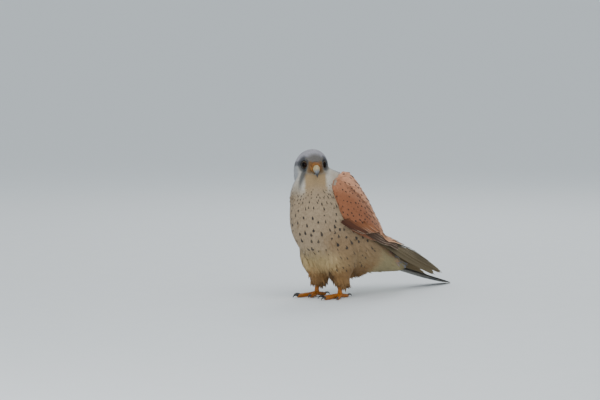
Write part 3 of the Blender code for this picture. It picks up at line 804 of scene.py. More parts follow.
def bodyLooks(bird, normals, chosen, seed):
    draw = np.random.default_rng(seed)
    many = len(bird)
    tone = draw.normal(0, coatSizes["toneSpread"], (many, 1)).clip(-0.22, 0.22)
    base = plumageAt(bird, normals) * (1 + tone)
    marks, shape = markTables(bird, chosen, draw)
    return {"plumage": base, "inkTint": np.tile(tints["ink"], (many, 1)), "marks": marks, "markShape": shape,
            "rimTint": np.clip(base * 1.2 + 0.02, 0, 1)}


skin = makeSkin()
skinPlaces, skinNormals = [readAll(skin.data.vertices, key, 3) for key in ("co", "normal")]
setColours(skin.data, "plumage", plumageAt(toBird(skinPlaces), skinNormals))
dress(skin, skinPaint("downy skin"), "breast_feathers", "head", "neck", "torso", "thigh_left", "thigh_right")
skinTree = BVHTree.FromObject(skin, bpy.context.evaluated_depsgraph_get())
print("skin", len(skin.data.polygons), "faces")


def openSkin(bird):
    # feathers grow everywhere but at the eyes, the base of the bill and the soles
    ahead, side, up = toHead(bird).T
    bill = (ahead > 17.0) & (np.abs(side) < 6) & (up > -9)
    return (eyeDistance(bird) > coatSizes["lidGap"]) & ~bill & (bird[:, 2] > coatSizes["soleGap"])


roots = scatterRoots(skin, coatSizes["seed"], openSkin, ringLength)
rootBird = toBird(roots[0])
rootHigh, onFace = rootBird[:, 2], aboveNeck(rootBird) > -2
markRing = (2.35 + 4.0 * smooth(128, 108, rootHigh) + 1.6 * smooth(100, 60, rootHigh)) * mm
marked = spacedPick(roots[0], markRing, 11)

faceFeather = makeTemplate("face feather", 2, 3, [(0, 0.5), (0.45, 1.0), (0.8, 0.8), (1, 0.3)], 0.0, True)
bodyFeather = makeTemplate("body feather", 6, 3, [(0, 0.4), (0.35, 0.95), (0.65, 1.0), (1, 0.7)], 0.07, True)
looseFeather = makeTemplate("loose feather", 2, 4, [(0, 0.6), (0.4, 1.0), (0.8, 0.7), (1, 0.25)], 0.0, True)

bodyShape = {"lift": 0.95, "curl": 0.5, "thick": 0.06, "wrap": 0.9, "step": 0.3}
faceShape = {**bodyShape, "width": 0.45, "thick": 0.05, "turn": 0.1, "wrap": 0.95}
coats = {
    "crown_coat": (faceFeather, onFace & (toHead(rootBird)[:, 2] > 3.0), faceShape),
    "face_coat": (faceFeather, onFace & (toHead(rootBird)[:, 2] <= 3.0), faceShape),
    "neck_coat": (bodyFeather, ~onFace & (rootHigh > 104),
                  {**bodyShape, "width": 0.44, "turn": 0.14, "stray": 0.012}),
    "breast_coat": (bodyFeather, ~onFace & (rootHigh <= 104) & (rootHigh > 70),
                    {**bodyShape, "width": 0.42, "lift": 0.98, "turn": 0.15, "stray": 0.02}),
    "belly_coat": (looseFeather, rootHigh <= 70,
                   {**bodyShape, "width": 0.2, "lift": 1.0, "curl": 0.4, "turn": 0.2, "wrap": 0.85,
                    "step": 0.35, "hang": True, "stray": 0.02}),
}
bodyPaint = plumagePaint("body plumage")
for name, (template, part, shapes) in coats.items():
    subset = tuple(item[part] for item in roots)
    bird = rootBird[part]
    looks = bodyLooks(bird, subset[1], marked[part].astype(float), 5)
    piece = layCoat(name, skinTree, template, subset, featherLength(bird), featherLie(bird, subset[1]),
                    coatDepth(bird) + neckFill(bird), looks, shapes, 3)
    dress(piece, bodyPaint, "head_feathers" if template is faceFeather else "breast_feathers")


# the greater tint is dark feather colour together with painted shade along the wing's lower edge
wingTints = {
    "coverts": (0.275, 0.1, 0.045), "mantle": (0.62, 0.305, 0.175), "greater": (0.06, 0.018, 0.007),
    "tertial": (0.56, 0.26, 0.125), "secondary": (0.068, 0.032, 0.016), "primary": (0.135, 0.1, 0.052),
    "warm": (0.38, 0.135, 0.05), "edge": (0.6, 0.46, 0.32), "ink": (0.016, 0.012, 0.010),
}

# rows of the folded wing: number, first and last root, first and last tip, half widths below and above
# the shaft, tilt, strength of drop and rim; a place is back, up and height over the bed, as seen from the
# side, and for the tertials it is the bed's place, degrees and height
wingRows = {
    "secondary": (9, (16, 85, 2.4), (30, 107, 3.6), (95, 51, 4.2), (106, 62, 6.2), (6.0, 6.8), 5, 0.4, 0.5),
    "primary_covert": (6, (6, 82, 1.5), (7, 93, 2.4), (56, 65, 2.6), (48, 75, 3.4), (3.0, 3.8), 5, 0.0, 0.4),
    "primary": (9, (40, 70, 0.9), (24, 99, 3.2), (186, 12.6, 0.9), (140, 42, 4.5), (3.4, 7.0), 4, 0.0, 0.35),
    "greater": (15, (-10, 92, 3.0), (40, 106, 4.2), (27, 77, 4.6), (84, 72, 6.4), (4.2, 4.4), 5, 0.5, 0.65),
    "tertial": (4, (4.3, 50, 3.4), (4.6, 68, 3.8), (9.0, 58, 5.8), (7.6, 79, 6.6), (6.6, 6.8), 4, 0.9, 0.7),
}
wingSizes = {"reach": (-0.02, 0.02), "uneven": (-0.15, 0.15), "toneSpread": 0.06, "thick": 0.35,
             "camber": 0.012, "core": 0.4, "coreBulge": 4.2, "coreFront": 2.0, "coreThick": 0.0006,
             "markRing": 4.7, "shoulderLift": (1.2, 2.0)}
primaryTips = [(184, 13.5), (199, 13.0), (196, 15.5), (190, 19.0), (181, 23.0), (172, 27.5), (162, 32.0),
               (151, 37.0), (140, 42.0)]


def mixRow(first, last, share):
    return np.asarray(first, float) + (np.asarray(last, float) - np.asarray(first, float)) * share


def layVane(template, points, normals, halves, tilt):
    # maps a template feather onto a shaft of points and normals
    count = len(points)
    along = unit(np.gradient(points, axis=0))
    across = unit(np.cross(along, normals))
    across = across * np.where(across[:, 2:3] < 0, -1.0, 1.0)
    turn = math.radians(tilt)
    leaned = across * math.cos(turn) - normals * math.sin(turn)
    up = unit(normals * math.cos(turn) + across * math.sin(turn))
    co = template["co"]
    spot = np.clip(co[:, 1], 0, 1) * (count - 1)

    def at(values):
        return np.stack([np.interp(spot, np.arange(count), values[:, k]) for k in range(3)], -1)

    half = np.where(co[:, 0] < 0, halves[0], halves[1])
    sideways = co[:, 0] * half
    over = np.maximum(co[:, 1] - 1, 0)[:, None] * np.linalg.norm(points[-1] - points[0])
    return (at(points) + at(leaned) * sideways[:, None] + at(along) * over
            + at(up) * (co[:, 2] * wingSizes["thick"] - wingSizes["camber"] * sideways ** 2)[:, None])


longVane = makeTemplate("long vane", 8, 22, [(0, 0.35), (0.12, 0.7), (0.35, 0.98), (0.7, 1.0), (0.86, 0.88),
                                             (0.95, 0.62), (1, 0.3)], 0.0)
pointedVane = makeTemplate("pointed vane", 8, 24, [(0, 0.5), (0.3, 1.0), (0.6, 0.95), (0.8, 0.78), (0.92, 0.5),
                                                   (1, 0.16)], 0.0)
shortVane = makeTemplate("short vane", 8, 10, [(0, 0.4), (0.3, 0.9), (0.65, 1.0), (0.85, 0.9), (0.95, 0.66),
                                               (1, 0.42)], 0.02)


def vaneColours(name, share, drop, rim):
    # the colours and marks of one vane by its row and its share of the way through the row
    plumage, shape = wingTints["coverts"], (0.3, 0.86, 0.0)
    if name == "greater":
        # dark at the row's front, for darker feathers and painted shade along the wing's lower edge, warming
        # toward the rear
        plumage = blendOf(wingTints["greater"], wingTints["warm"], smooth(-0.02, 0.6, share) * 0.9)
        drop, shape = drop * (round(share * 14) % 2), (0.34, 0.9, 0.0)
    elif name == "tertial":
        plumage, shape = wingTints["tertial"], (0.55, 0.9, 0.0)
    elif name == "secondary":
        warm = smooth(0.25, 0.9, np.array(share))
        plumage = blendOf(wingTints["secondary"], wingTints["tertial"], warm)
        drop, shape = drop * float(warm), (0.6, 0.92, 0.0)
    elif name == "primary":
        plumage = wingTints["primary"]
    elif name == "primary_covert":
        plumage = blendOf(wingTints["secondary"], wingTints["coverts"], 0.75)
    return {"plumage": np.asarray(plumage), "inkTint": wingTints["ink"], "rimTint": wingTints["edge"],
            "marks": (drop, rim, 0.0), "markShape": shape}


rowVanes = {"primary": pointedVane, "secondary": longVane, "tertial": longVane, "primary_covert": shortVane,
            "greater": shortVane}


def makeWing(side):
    draw = np.random.default_rng(21 if side > 0 else 22)
    pieces = {"flight": [], "covert": []}
    for name, (count, rootA, rootB, tipA, tipB, halves, tilt, drop, rim) in wingRows.items():
        for k in range(count):
            share = k / (count - 1)
            root, tip = mixRow(rootA, rootB, share), mixRow(tipA, tipB, share)
            if name == "primary":
                tip = np.array([*primaryTips[k], tip[2]])
            tip = root + (tip - root) * (1 + draw.uniform(*wingSizes["reach"]))
            spots = root + (tip - root) * np.linspace(0, 1, 13)[:, None]
            place, angle = spots[:, 0], spots[:, 1]
            if name != "tertial":
                place, angle = bedSpot(place, angle)
            points, normals = bedAt(place, angle, spots[:, 2], side)
            points = points + normals * draw.uniform(*wingSizes["uneven"])
            placed = layVane(rowVanes[name], points, normals, halves, tilt)
            colours = vaneColours(name, share, drop, rim)
            colours["plumage"] = colours["plumage"] * (1 + draw.normal(0, wingSizes["toneSpread"]))
            pieces["covert" if name == "greater" else "flight"].append((rowVanes[name], placed, colours))
    return pieces


def joinVanes(name, items):
    # different templates in one mesh, each feather with its own patch of the bake map
    meshes = []
    columns = math.ceil(math.sqrt(len(items)))
    for k, (template, placed, colours) in enumerate(items):
        spot = np.array([[(k % columns + 0.5) / columns, (k // columns + 0.5) / columns]])
        flat = {key: np.array([value], float) for key, value in colours.items()}
        part = joinFeathers("%s_%d" % (name, k), template, toScene(placed)[None], flat, spot)
        layer = part.data.uv_layers["OFBake"]
        local = quillOf(template)[template["corners"]]
        layer.uv.foreach_set("vector", (spot + (local - 0.5) * 0.9 / columns).ravel())
        meshes.append(part)
    return joinPieces(name, meshes)


# the covered arm: place on the bed, lower and upper degrees
armRows = [(1.75, 6, 50), (2.2, -6, 66), (3.2, -10, 78), (4.5, -6, 84), (5.6, 12, 84), (6.4, 30, 82)]


def makeArm(side):
    # the covered arm under the coverts: a grid laid on the bed and made solid
    clearSelection()
    bpy.ops.mesh.primitive_grid_add(x_subdivisions=16, y_subdivisions=24, size=2.0)
    piece = startPiece("wing_core_" + ("left" if side > 0 else "right"))
    for vert in piece.data.vertices:
        x, y = vert.co.x, (vert.co.y + 1) / 2
        place, low, high = rowAt(armRows, np.array(y * (len(armRows) - 1)))
        angle = low + (high - low) * (x + 1) / 2
        bulge = wingSizes["coreBulge"] * (1 - abs(x) ** 5) * (1 - (2 * y - 1) ** 6) ** 0.5
        bulge = bulge + wingSizes["coreFront"] * smooth(0.45, 0.7, x) * (1 - y ** 4)
        point, _ = bedAt(np.array(place), np.array(angle), np.array(wingSizes["core"] + bulge), side)
        vert.co = toScene(point)
    if side > 0:
        piece.data.flip_normals()
    solid = piece.modifiers.new("solid", "SOLIDIFY")
    solid.thickness = wingSizes["coreThick"]
    solid.offset = 0.0
    applyAll(piece)
    bpy.ops.object.shade_smooth()
    unwrap(piece, 0.01)
    high = toBird(readAll(piece.data.vertices, "co", 3))[:, 2]
    paled = blendOf(wingTints["coverts"], tints["neckSide"], smooth(116, 130, high) * 0.8)
    setColours(piece.data, "plumage", paled)
    return piece


coverLine = [(-30.0, 82.0), (-12.0, 87.0), (5.0, 94.0), (20.0, 95.0), (50.0, 86.0), (62.0, 76.0), (90.0, 66.0)]
foldLine = [(-12.0, 143.0), (12.0, 130.0), (38.0, 110.0), (56.0, 84.0), (62.0, 68.0)]


def aboveFold(bird):
    # signed distance in the side view from the line where the scapulars lie over the coverts
    best = np.full(len(bird), 1e3)
    side = np.ones(len(bird))
    spot = bird[:, 1:]
    for start, end in zip(foldLine[:-1], foldLine[1:]):
        away, _ = distanceToLine(spot, start, end)
        run = np.asarray(end) - np.asarray(start)
        turn = run[0] * (spot[:, 1] - start[1]) - run[1] * (spot[:, 0] - start[0])
        side = np.where(away < best, np.sign(turn), side)
        best = np.minimum(best, away)
    return best * side


def shoulderLength(bird):
    # short at the bend of the wing, longer toward the scapulars' tips
    scapular = smooth(-1, 3, aboveFold(bird)) * smooth(-15, 20, bird[:, 1])
    return 6.5 + 3.5 * smooth(-25, 45, bird[:, 1]) + 4.0 * scapular


def layShoulder(name, core, side):
    # lesser coverts and scapulars, scattered over the covered arm
    tree = BVHTree.FromObject(core, bpy.context.evaluated_depsgraph_get())

    def outerFace(bird):
        # the arm's outer side, down to the line where the greater coverts begin
        line = np.interp(bird[:, 1], [spot[0] for spot in coverLine], [spot[1] for spot in coverLine])
        return (bird[:, 2] > line) * (np.abs(bird[:, 0]) + 0.35 * (bird[:, 2] - 95.0) > 4)

    found = scatterRoots(core, 31 if side > 0 else 32, outerFace, shoulderLength)
    outward = (found[1][:, 0] * side * 0.9 + found[1][:, 2] * 0.6 - found[1][:, 1] * 0.6) > 0.05
    found = tuple(item[outward] for item in found)
    bird = toBird(found[0])
    draw = np.random.default_rng(41)
    many, fold = len(bird), aboveFold(bird)
    lie = alongSurface(np.tile(unit(np.array([-side * 0.2, 0.72, -0.64])), (many, 1)), found[1])
    lobe = smooth(-1.5, 3.0, fold + 0.8 * np.sin(bird[:, 1] * 0.55))
    # painted shadow: a band of the coverts just below the fold, where the scapulars overhang them
    under = np.exp(-((fold + 2.5) / 2.2) ** 2) * smooth(-8, 6, bird[:, 1])
    chosen = spacedPick(found[0], np.full(many, wingSizes["markRing"] * mm), 12)
    pale = np.clip(lobe * 0.9 + 0.3 * smooth(-15, -4, fold), 0, 0.9)
    base = blendOf(np.array(wingTints["coverts"]), np.array(wingTints["mantle"]), pale)
    # the coverts under the fold are darkened by the painted shadow band
    base = base * (1 + draw.normal(0, 0.04, (many, 1))) * (1 - 0.45 * under[:, None])
    marks = np.stack([chosen * 0.95, np.full(many, 0.22), np.zeros(many)], -1)
    shape = np.stack([draw.uniform(0.32, 0.46, many), draw.uniform(0.80, 0.85, many), np.zeros(many)], -1)
    looks = {"plumage": base, "inkTint": np.tile(wingTints["ink"], (many, 1)), "marks": marks,
             "markShape": shape, "rimTint": np.clip(base * 1.2 + 0.015, 0, 1)}
    shapes = {**bodyShape, "width": 0.5, "lift": 1.0, "turn": 0.07, "step": 0.4}
    least, more = wingSizes["shoulderLift"]
    lift = least + more * lobe
    return layCoat(name, tree, bodyFeather, found, shoulderLength(bird), lie, lift, looks, shapes, 9)


wingPaint = plumagePaint("wing plumage", 0.03)
downPaint = skinPaint("wing down")
for sideName, side in (("left", 1.0), ("right", -1.0)):
    vanes = makeWing(side)
    flight = joinVanes("wing_flight_" + sideName, vanes["flight"])
    dress(flight, wingPaint, "wing_feathers", "wing_" + sideName)
    coverts = joinVanes("wing_coverts_" + sideName, vanes["covert"])
    dress(coverts, wingPaint, "wing_feathers")
    core = dress(makeArm(side), downPaint, "wing_feathers")
    dress(layShoulder("wing_shoulder_" + sideName, core, side), wingPaint, "wing_feathers")
    print("wing", sideName, len(vanes["flight"]) + len(vanes["covert"]), "vanes")


# widths are the middle pair's, then a base and a step for each pair outward
tailSizes = {"root": (62.0, 46.0), "start": 40.0, "length": 163.0, "slope": 16.2, "pairs": 6, "level": 0.52,
             "shorter": 1.1, "outer": (7.4, 6.4, -0.4), "inner": (7.0, 2.0, 1.2), "thick": 0.45,
             "camber": 0.006, "barbs": 420.0}
# above and under are the tops and undersides of the vanes; the dark under tint is painted shade beneath the
# tail
tailTints = {"above": (0.13, 0.121, 0.102), "under": (0.056, 0.046, 0.025), "band": (0.02, 0.02, 0.022),
             "tip": (0.66, 0.62, 0.52), "shaft": (0.05, 0.045, 0.04)}


def makeTail():
    slope = math.radians(tailSizes["slope"])
    direction = np.array([0, math.cos(slope), -math.sin(slope)])
    rise = np.array([0, math.sin(slope), math.cos(slope)])
    root = np.array([0, *tailSizes["root"]])
    steps = np.linspace(0, 1, 13)
    items = []
    for pair in range(tailSizes["pairs"]):
        for side in (1.0, -1.0):
            level = -tailSizes["level"] * (pair + (1 if pair or side < 0 else 0))
            length = tailSizes["length"] - tailSizes["shorter"] * pair ** 2
            inner, outer = [base + step * pair if pair else middle
                            for middle, base, step in (tailSizes["inner"], tailSizes["outer"])]
            along = tailSizes["start"] + (length - tailSizes["start"]) * steps
            shaft = side * ((0.9 + 0.8 * pair) * (1 - steps) + (2.3 + 1.3 * pair) * steps)
            points = root + direction * along[:, None] + rise * (level * (1 - 0.25 * steps))[:, None]
            points[:, 0] += shaft
            placed = layTail(points, rise, side, inner, outer)
            beneath = longVane["co"][:, 2:3] < 0
            # the undersides take the dark under tint: painted shade beneath the tail
            colours = {"plumage": np.where(beneath, tailTints["under"], tailTints["above"]),
                       "inkTint": tailTints["band"], "rimTint": tailTints["tip"],
                       "marks": (0.0, 0.6, 0.0), "markShape": (0.5, 0.9, 0.0)}
            items.append((longVane, placed, colours))
    return joinVanes("tail_vanes", items)


def layTail(points, rise, side, inner, outer):
    co = longVane["co"]
    spot = np.clip(co[:, 1], 0, 1) * (len(points) - 1)
    at = np.stack([np.interp(spot, np.arange(len(points)), points[:, k]) for k in range(3)], -1)
    half = np.where(co[:, 0] < 0, inner, outer)
    at[:, 0] += side * co[:, 0] * half
    lift = co[:, 2] * tailSizes["thick"] - tailSizes["camber"] * (co[:, 0] * half) ** 2
    placed = at + rise * lift[:, None]
    placed[:, 2] = np.maximum(placed[:, 2], 0.1)
    return placed


def tailPaint():
    paint = Paint("tail plumage")
    quill = paint.node("ShaderNodeUVMap", {"uv_map": "quill"})
    u, v, _ = paint.parts(quill)
    across = (u - 0.5) * 2.0
    place = paint.place()
    wander = paint.noise(place, 300.0, 3.0) - 0.5
    fine = paint.noise(place, 900.0, 2.0)
    barbs = ((v + abs(across) * 0.06) * tailSizes["barbs"] + wander * 3.0).sine()
    line = v + wander * 0.015 - across * across * 0.01
    band = line.ramp(0.8, 0.815) * (1.0 - line.ramp(0.945, 0.955))
    tip = line.ramp(0.945, 0.96)
    shaft = 1.0 - abs(across).ramp(0.02, 0.06)
    base = paint.vector("SCALE", {0: paint.attribute("plumage"), "Scale": 0.82 + 0.36 * fine})
    coloured = paint.mix(band, base, tailTints["band"])
    coloured = paint.mix(tip, coloured, tailTints["tip"])
    coloured = paint.mix(shaft * 0.5, coloured, tailTints["shaft"])
    height = barbs * 0.4 + fine * 0.4 + shaft
    return paint.finish(Base_Color=coloured, Roughness=0.62, Normal=paint.bump(height, 0.35),
                        Specular_IOR_Level=0.3, Sheen_Weight=0.1)


tail = makeTail()
dress(tail, tailPaint(), "tail_feathers", "tail")
print("tail done")


def sleeve(name, around, cuts, shape, crease=60, plates=1.0):
    # a closed body from a cylinder; shape gives the place for a share along, an angle and a share out
    clearSelection()
    bpy.ops.mesh.primitive_cylinder_add(vertices=around, radius=1.0, depth=2.0, end_fill_type="TRIFAN")
    piece = startPiece(name)
    cutAcross(np.linspace(-1, 1, cuts + 1)[1:-1])
    girth = piece.data.attributes.new("girth", "FLOAT_COLOR", "POINT")
    for k, vert in enumerate(piece.data.vertices):
        x, y, z = vert.co
        girth.data[k].color = ((z + 1) / 2 * plates, y, min(math.hypot(x, y), 1.0), 1.0)
        vert.co = toScene(shape((z + 1) / 2, math.atan2(y, x), min(math.hypot(x, y), 1.0)))
    facesOut()
    bpy.ops.object.shade_smooth_by_angle(angle=math.radians(crease))
    return piece


def headLoft(name, rows, around, cuts, extra=None):
    def shape(along, angle, spread):
        low, lowUp, high, highUp, half = rowAt(rows, np.array(along * (len(rows) - 1)))
        rise = squared(math.sin(angle)) * spread
        ahead = (low + high) / 2 + rise * (high - low) / 2
        out = squared(math.cos(angle)) * spread * half
        up = (lowUp + highUp) / 2 + rise * (highUp - lowUp) / 2
        if extra:
            ahead, out, up = extra(along, rise, ahead, out, up)
        return inHead(ahead, out, up)
    return sleeve(name, around, cuts, shape)


def rod(name, path, radii, around, cuts, flat=1.0, swell=None, top=(0.0, 0.0, 1.0), plates=1.0):
    path = np.asarray(path, float)

    def shape(along, angle, spread):
        spot = along * (len(path) - 1)
        ahead = unit(rowAt(path, np.array(spot + 0.06)) - rowAt(path, np.array(spot - 0.06)))
        aside = unit(np.cross(ahead, np.array(top)))
        rise = np.cross(aside, ahead)
        size = np.interp(spot, np.arange(len(radii)), radii) * spread
        if swell:
            size = size * swell(along, angle)
        place = rowAt(path, np.array(spot)) + aside * math.cos(angle) * size
        return place + rise * math.sin(angle) * size * flat
    return sleeve(name, around, cuts, shape, plates=plates)


faceSizes = {"gazeTurn": 50.0, "lidRadius": 4.3, "lidThick": 0.27, "lidOval": 0.9, "lidWide": 1.6,
             "cornea": 0.22, "pupil": 25.0, "iris": 54.0, "nostril": (19.3, 4.5, 0.4), "nostrilSize": 0.95,
             "nostrilReach": 2.6}
faceTints = {"cere": (0.47, 0.195, 0.016), "cereDeep": (0.13, 0.048, 0.008), "lid": (0.062, 0.042, 0.014),
             "billBase": (0.345, 0.265, 0.12), "billMiddle": (0.15, 0.155, 0.16),
             "billTip": (0.012, 0.012, 0.014),
             "iris": (0.011, 0.005, 0.003), "eyeEdge": (0.006, 0.004, 0.003), "pupil": (0.001, 0.001, 0.001),
             "jawBase": (0.16, 0.12, 0.06), "jawMiddle": (0.09, 0.085, 0.08), "lidCrease": (0.03, 0.02, 0.01)}


def eyePaint(name, centre, gaze):
    paint = Paint(name)
    away = paint.vector("SUBTRACT", {0: paint.place(), 1: tuple(centre)})
    away = paint.vector("NORMALIZE", {0: away})
    facing = paint.vector("DOT_PRODUCT", {0: away, 1: tuple(gaze)}, 1)
    flecks = paint.noise(away, 14.0, 5.0)
    pupil, iris = faceSizes["pupil"], faceSizes["iris"]
    inner, outer = [facing.ramp(math.cos(math.radians(reach + soft)), math.cos(math.radians(reach)))
                    for reach, soft in ((pupil, 2), (iris, 4))]
    dim, bright = [tuple(c * scale for c in faceTints["iris"]) for scale in (0.4, 1.9)]
    iris = paint.mix(flecks, dim, bright)
    coloured = paint.mix(outer, faceTints["eyeEdge"], iris)
    coloured = paint.mix(inner, coloured, faceTints["pupil"])
    return paint.finish(Base_Color=coloured, Roughness=0.05, Specular_IOR_Level=0.045)


def softSkinPaint(name, tint, deep, cell, depth, crest=None, scuted=False, holes=()):
    # bare yellow skin: fine creased cells, deeper colour in the creases and above a height
    paint = Paint(name)
    place = paint.place()
    wander = paint.noise(place, 500.0, 2.0, out=1)
    warped = paint.vector("MULTIPLY_ADD", {0: wander, 1: (0.0006,) * 3, 2: place})
    cells = paint.node("ShaderNodeTexVoronoi", {"feature": "DISTANCE_TO_EDGE"},
                       {"Vector": warped, "Scale": cell})
    crease = 1.0 - cells.ramp(0.0, 0.16)
    mottled = paint.noise(place, 260.0, 4.0)
    coloured = paint.mix(mottled.ramp(0.3, 0.75), deep, tint)
    coloured = paint.mix(crease * 0.55, coloured, deep)
    if crest:
        _, _, up = paint.parts(place)
        coloured = paint.mix((up + (mottled - 0.5) * 0.003).ramp(*crest) * 0.85, coloured, deep)
    for hole in holes:
        # painted shade: near black inside each nostril, deeper colour around it
        away = paint.vector("DISTANCE", {0: place, 1: tuple(hole)}, 1)
        coloured = paint.mix((1.0 - away.ramp(0.0011, 0.0026)) * 0.8, coloured, deep)
        coloured = paint.mix((1.0 - away.ramp(0.0006, 0.0012)) * 0.92, coloured, (0.012, 0.006, 0.003))
    height = cells.ramp(0.0, 0.3) + mottled * 0.4
    if scuted:
        # broad plates across the front of the leg and the top of the toes, small cells elsewhere
        along, upward, _ = paint.parts(paint.attribute("girth"))
        share = (along + (mottled - 0.5) * 0.12).fraction()
        front = upward.ramp(0.15, 0.5)
        seam = (1.0 - share.ramp(0.0, 0.07) * (1.0 - share.ramp(0.9, 1.0))) * front
        coloured = paint.mix(seam * 0.75, coloured, (0.10, 0.035, 0.006))
        height = height * (1.0 - front * 0.75) + (1.0 - share * 0.5 - seam) * front * 2.2
    return paint.finish(Base_Color=coloured, Roughness=0.42 + 0.2 * mottled, Normal=paint.bump(height, depth),
                        Specular_IOR_Level=0.3)


def hornPaint(name, base, middle, tip, start, end, stops):
    # horn that darkens from its root to its point, with growth lines
    paint = Paint(name)
    run = (np.asarray(end) - np.asarray(start))
    reach = float(run @ run)
    place = paint.place()
    away = paint.vector("SUBTRACT", {0: place, 1: tuple(start)})
    along = paint.vector("DOT_PRODUCT", {0: away, 1: tuple(run / reach)}, 1)
    cloud = paint.noise(place, 500.0, 4.0)
    spot = along + (cloud - 0.5) * 0.16
    stops = list(zip(stops, (base, middle, tip)))
    coloured = paint.node("ShaderNodeValToRGB", {"stops": stops}, {0: spot})
    lines = (along * 90.0 + cloud * 5.0).sine()
    return paint.finish(Base_Color=coloured, Roughness=0.26 + 0.16 * cloud,
                        Normal=paint.bump(lines * 0.3 + cloud, 0.12), Coat_Weight=0.25, Coat_Roughness=0.25)


def makeEye(sideName, side, lidPaint):
    ahead, out, up = headFrame["eye"]
    centre = inHead(ahead, side * out, up)
    turn = math.radians(faceSizes["gazeTurn"])
    gaze = headForward * math.cos(turn) + headSide * side * math.sin(turn)
    rise = unit(np.array([0.0, 0.0, 1.0]) - gaze * gaze[2])
    aside = np.cross(rise, gaze)
    clearSelection()
    bpy.ops.mesh.primitive_uv_sphere_add(segments=48, ring_count=32, radius=1.0)
    ball = startPiece("eyeball_" + sideName)
    for vert in ball.data.vertices:
        x, y, z = vert.co
        bulge = faceSizes["cornea"] * smooth(0.66, 1.0, z)
        spot = (aside * x + rise * y + gaze * z) * (headFrame["eyeRadius"] - 0.05 + bulge)
        vert.co = toScene(centre + spot)
    facesOut()
    bpy.ops.object.shade_smooth()
    dress(ball, eyePaint("eye " + sideName, toScene(centre), gaze), "eye_surface", "eye_" + sideName)
    clearSelection()
    bpy.ops.mesh.primitive_torus_add(major_segments=60, minor_segments=12, major_radius=faceSizes["lidRadius"],
                                     minor_radius=faceSizes["lidThick"])
    lid = startPiece("eyelid_" + sideName)
    for vert in lid.data.vertices:
        x, y, z = vert.co
        around = math.atan2(y, x)
        upper = smooth(0.1, 0.9, math.sin(around))
        wrinkle = 1 + 0.035 * math.sin(around * 23)
        middle = faceSizes["lidRadius"]
        flat = middle + (math.hypot(x, y) - middle) * wrinkle * (1 + 0.35 * upper)
        flat = middle + (flat - middle) * faceSizes["lidWide"]
        rim = middle * (1 - (1 - faceSizes["lidOval"]) * math.sin(around) ** 2)
        seat = math.sqrt(headFrame["eyeRadius"] ** 2 - rim ** 2) + z * wrinkle - 0.75 * (flat - middle) + 0.1
        flat = flat * rim / middle
        spot = aside * math.cos(around) * flat + rise * math.sin(around) * flat
        vert.co = toScene(centre + spot + gaze * seat)
    facesOut()
    bpy.ops.object.shade_smooth()
    dress(lid, lidPaint, "bare_skin")


lidPaint = softSkinPaint("eyelid skin", faceTints["lid"], faceTints["lidCrease"], 1900.0, 0.4)
for sideName, side in (("left", 1.0), ("right", -1.0)):
    makeEye(sideName, side, lidPaint)

cereRows = [(14.6, -6.2, 14.8, 5.6, 6.3), (16.4, -6.8, 17.0, 5.5, 6.4), (18.4, -7.0, 19.2, 4.6, 5.7),
            (20.0, -6.9, 20.9, 3.1, 4.8), (20.5, -6.6, 21.3, 2.2, 4.2), (19.9, -6.0, 20.4, 1.4, 3.4)]
billRows = [(18.2, -6.0, 19.0, 1.8, 3.5), (20.6, -6.8, 21.3, 1.9, 3.9), (22.6, -7.3, 23.9, 0.5, 3.4),
            (24.1, -8.1, 25.9, -2.1, 2.6), (25.1, -9.2, 27.1, -5.5, 1.75), (25.7, -10.8, 27.3, -8.7, 1.0),
            (26.0, -12.2, 26.7, -11.9, 0.3)]
jawRows = [(17.0, -10.2, 17.4, -7.2, 3.4), (20.0, -10.0, 20.4, -7.6, 2.6), (22.2, -9.7, 22.5, -8.1, 1.7),
           (23.4, -9.4, 23.5, -8.7, 0.6)]


def cereExtra(along, rise, ahead, out, up):
    # swollen over the nostrils, which are round holes with a peg in the middle
    away = float(np.linalg.norm(np.array([ahead, abs(out), up]) - np.array(faceSizes["nostril"])))
    size, reach = faceSizes["nostrilSize"], faceSizes["nostrilReach"]
    if away >= reach:
        return ahead, out, up
    swell = 0.35 * float(smooth(reach, 1.0, away))
    dent = 1.5 * float(smooth(size, size * 0.6, away)) - 1.1 * float(smooth(size * 0.5, size * 0.2, away))
    return ahead + (swell - dent) * 0.4, math.copysign(abs(out) + (swell - dent) * 0.85, out), up


def billExtra(along, rise, ahead, out, up):
    # a small tooth on each cutting edge and a keel along the top
    tooth = 0.55 * math.exp(-((along - 0.66) / 0.035) ** 2) * float(smooth(-0.35, -0.85, rise))
    keel = 0.18 * float(smooth(0.8, 1.0, rise))
    return ahead + keel, out, up - tooth


cere = headLoft("cere_skin", cereRows, 56, 26, cereExtra)
cereTop = [toScene(inHead(0.0, 0.0, up))[2] for up in (0.5, 4.5)]
ahead, out, up = faceSizes["nostril"]
cereHoles = [toScene(inHead(ahead, out * side, up)) for side in (1.0, -1.0)]
cerePaint = softSkinPaint("cere skin", faceTints["cere"], faceTints["cereDeep"], 1500.0, 0.25, cereTop,
                          holes=cereHoles)
dress(cere, cerePaint, "bare_skin", "cere")
bill = headLoft("bill_horn_upper", billRows, 36, 34, billExtra)
billPaint = hornPaint("bill horn", faceTints["billBase"], faceTints["billMiddle"], faceTints["billTip"],
                      toScene(inHead(20.2, 0, 0.5)), toScene(inHead(26.4, 0, -12.0)), (0.3, 0.56, 0.78))
dress(bill, billPaint, "bill_horn", "bill_upper")
jaw = headLoft("bill_horn_lower", jawRows, 28, 16)
jawPaint = hornPaint("lower bill horn", faceTints["jawBase"], faceTints["jawMiddle"], faceTints["billMiddle"],
                     toScene(inHead(17.0, 0, -9.0)), toScene(inHead(24.0, 0, -9.0)), (0.3, 0.6, 0.95))
dress(jaw, jawPaint, "bill_horn", "bill_lower")
print("face done")


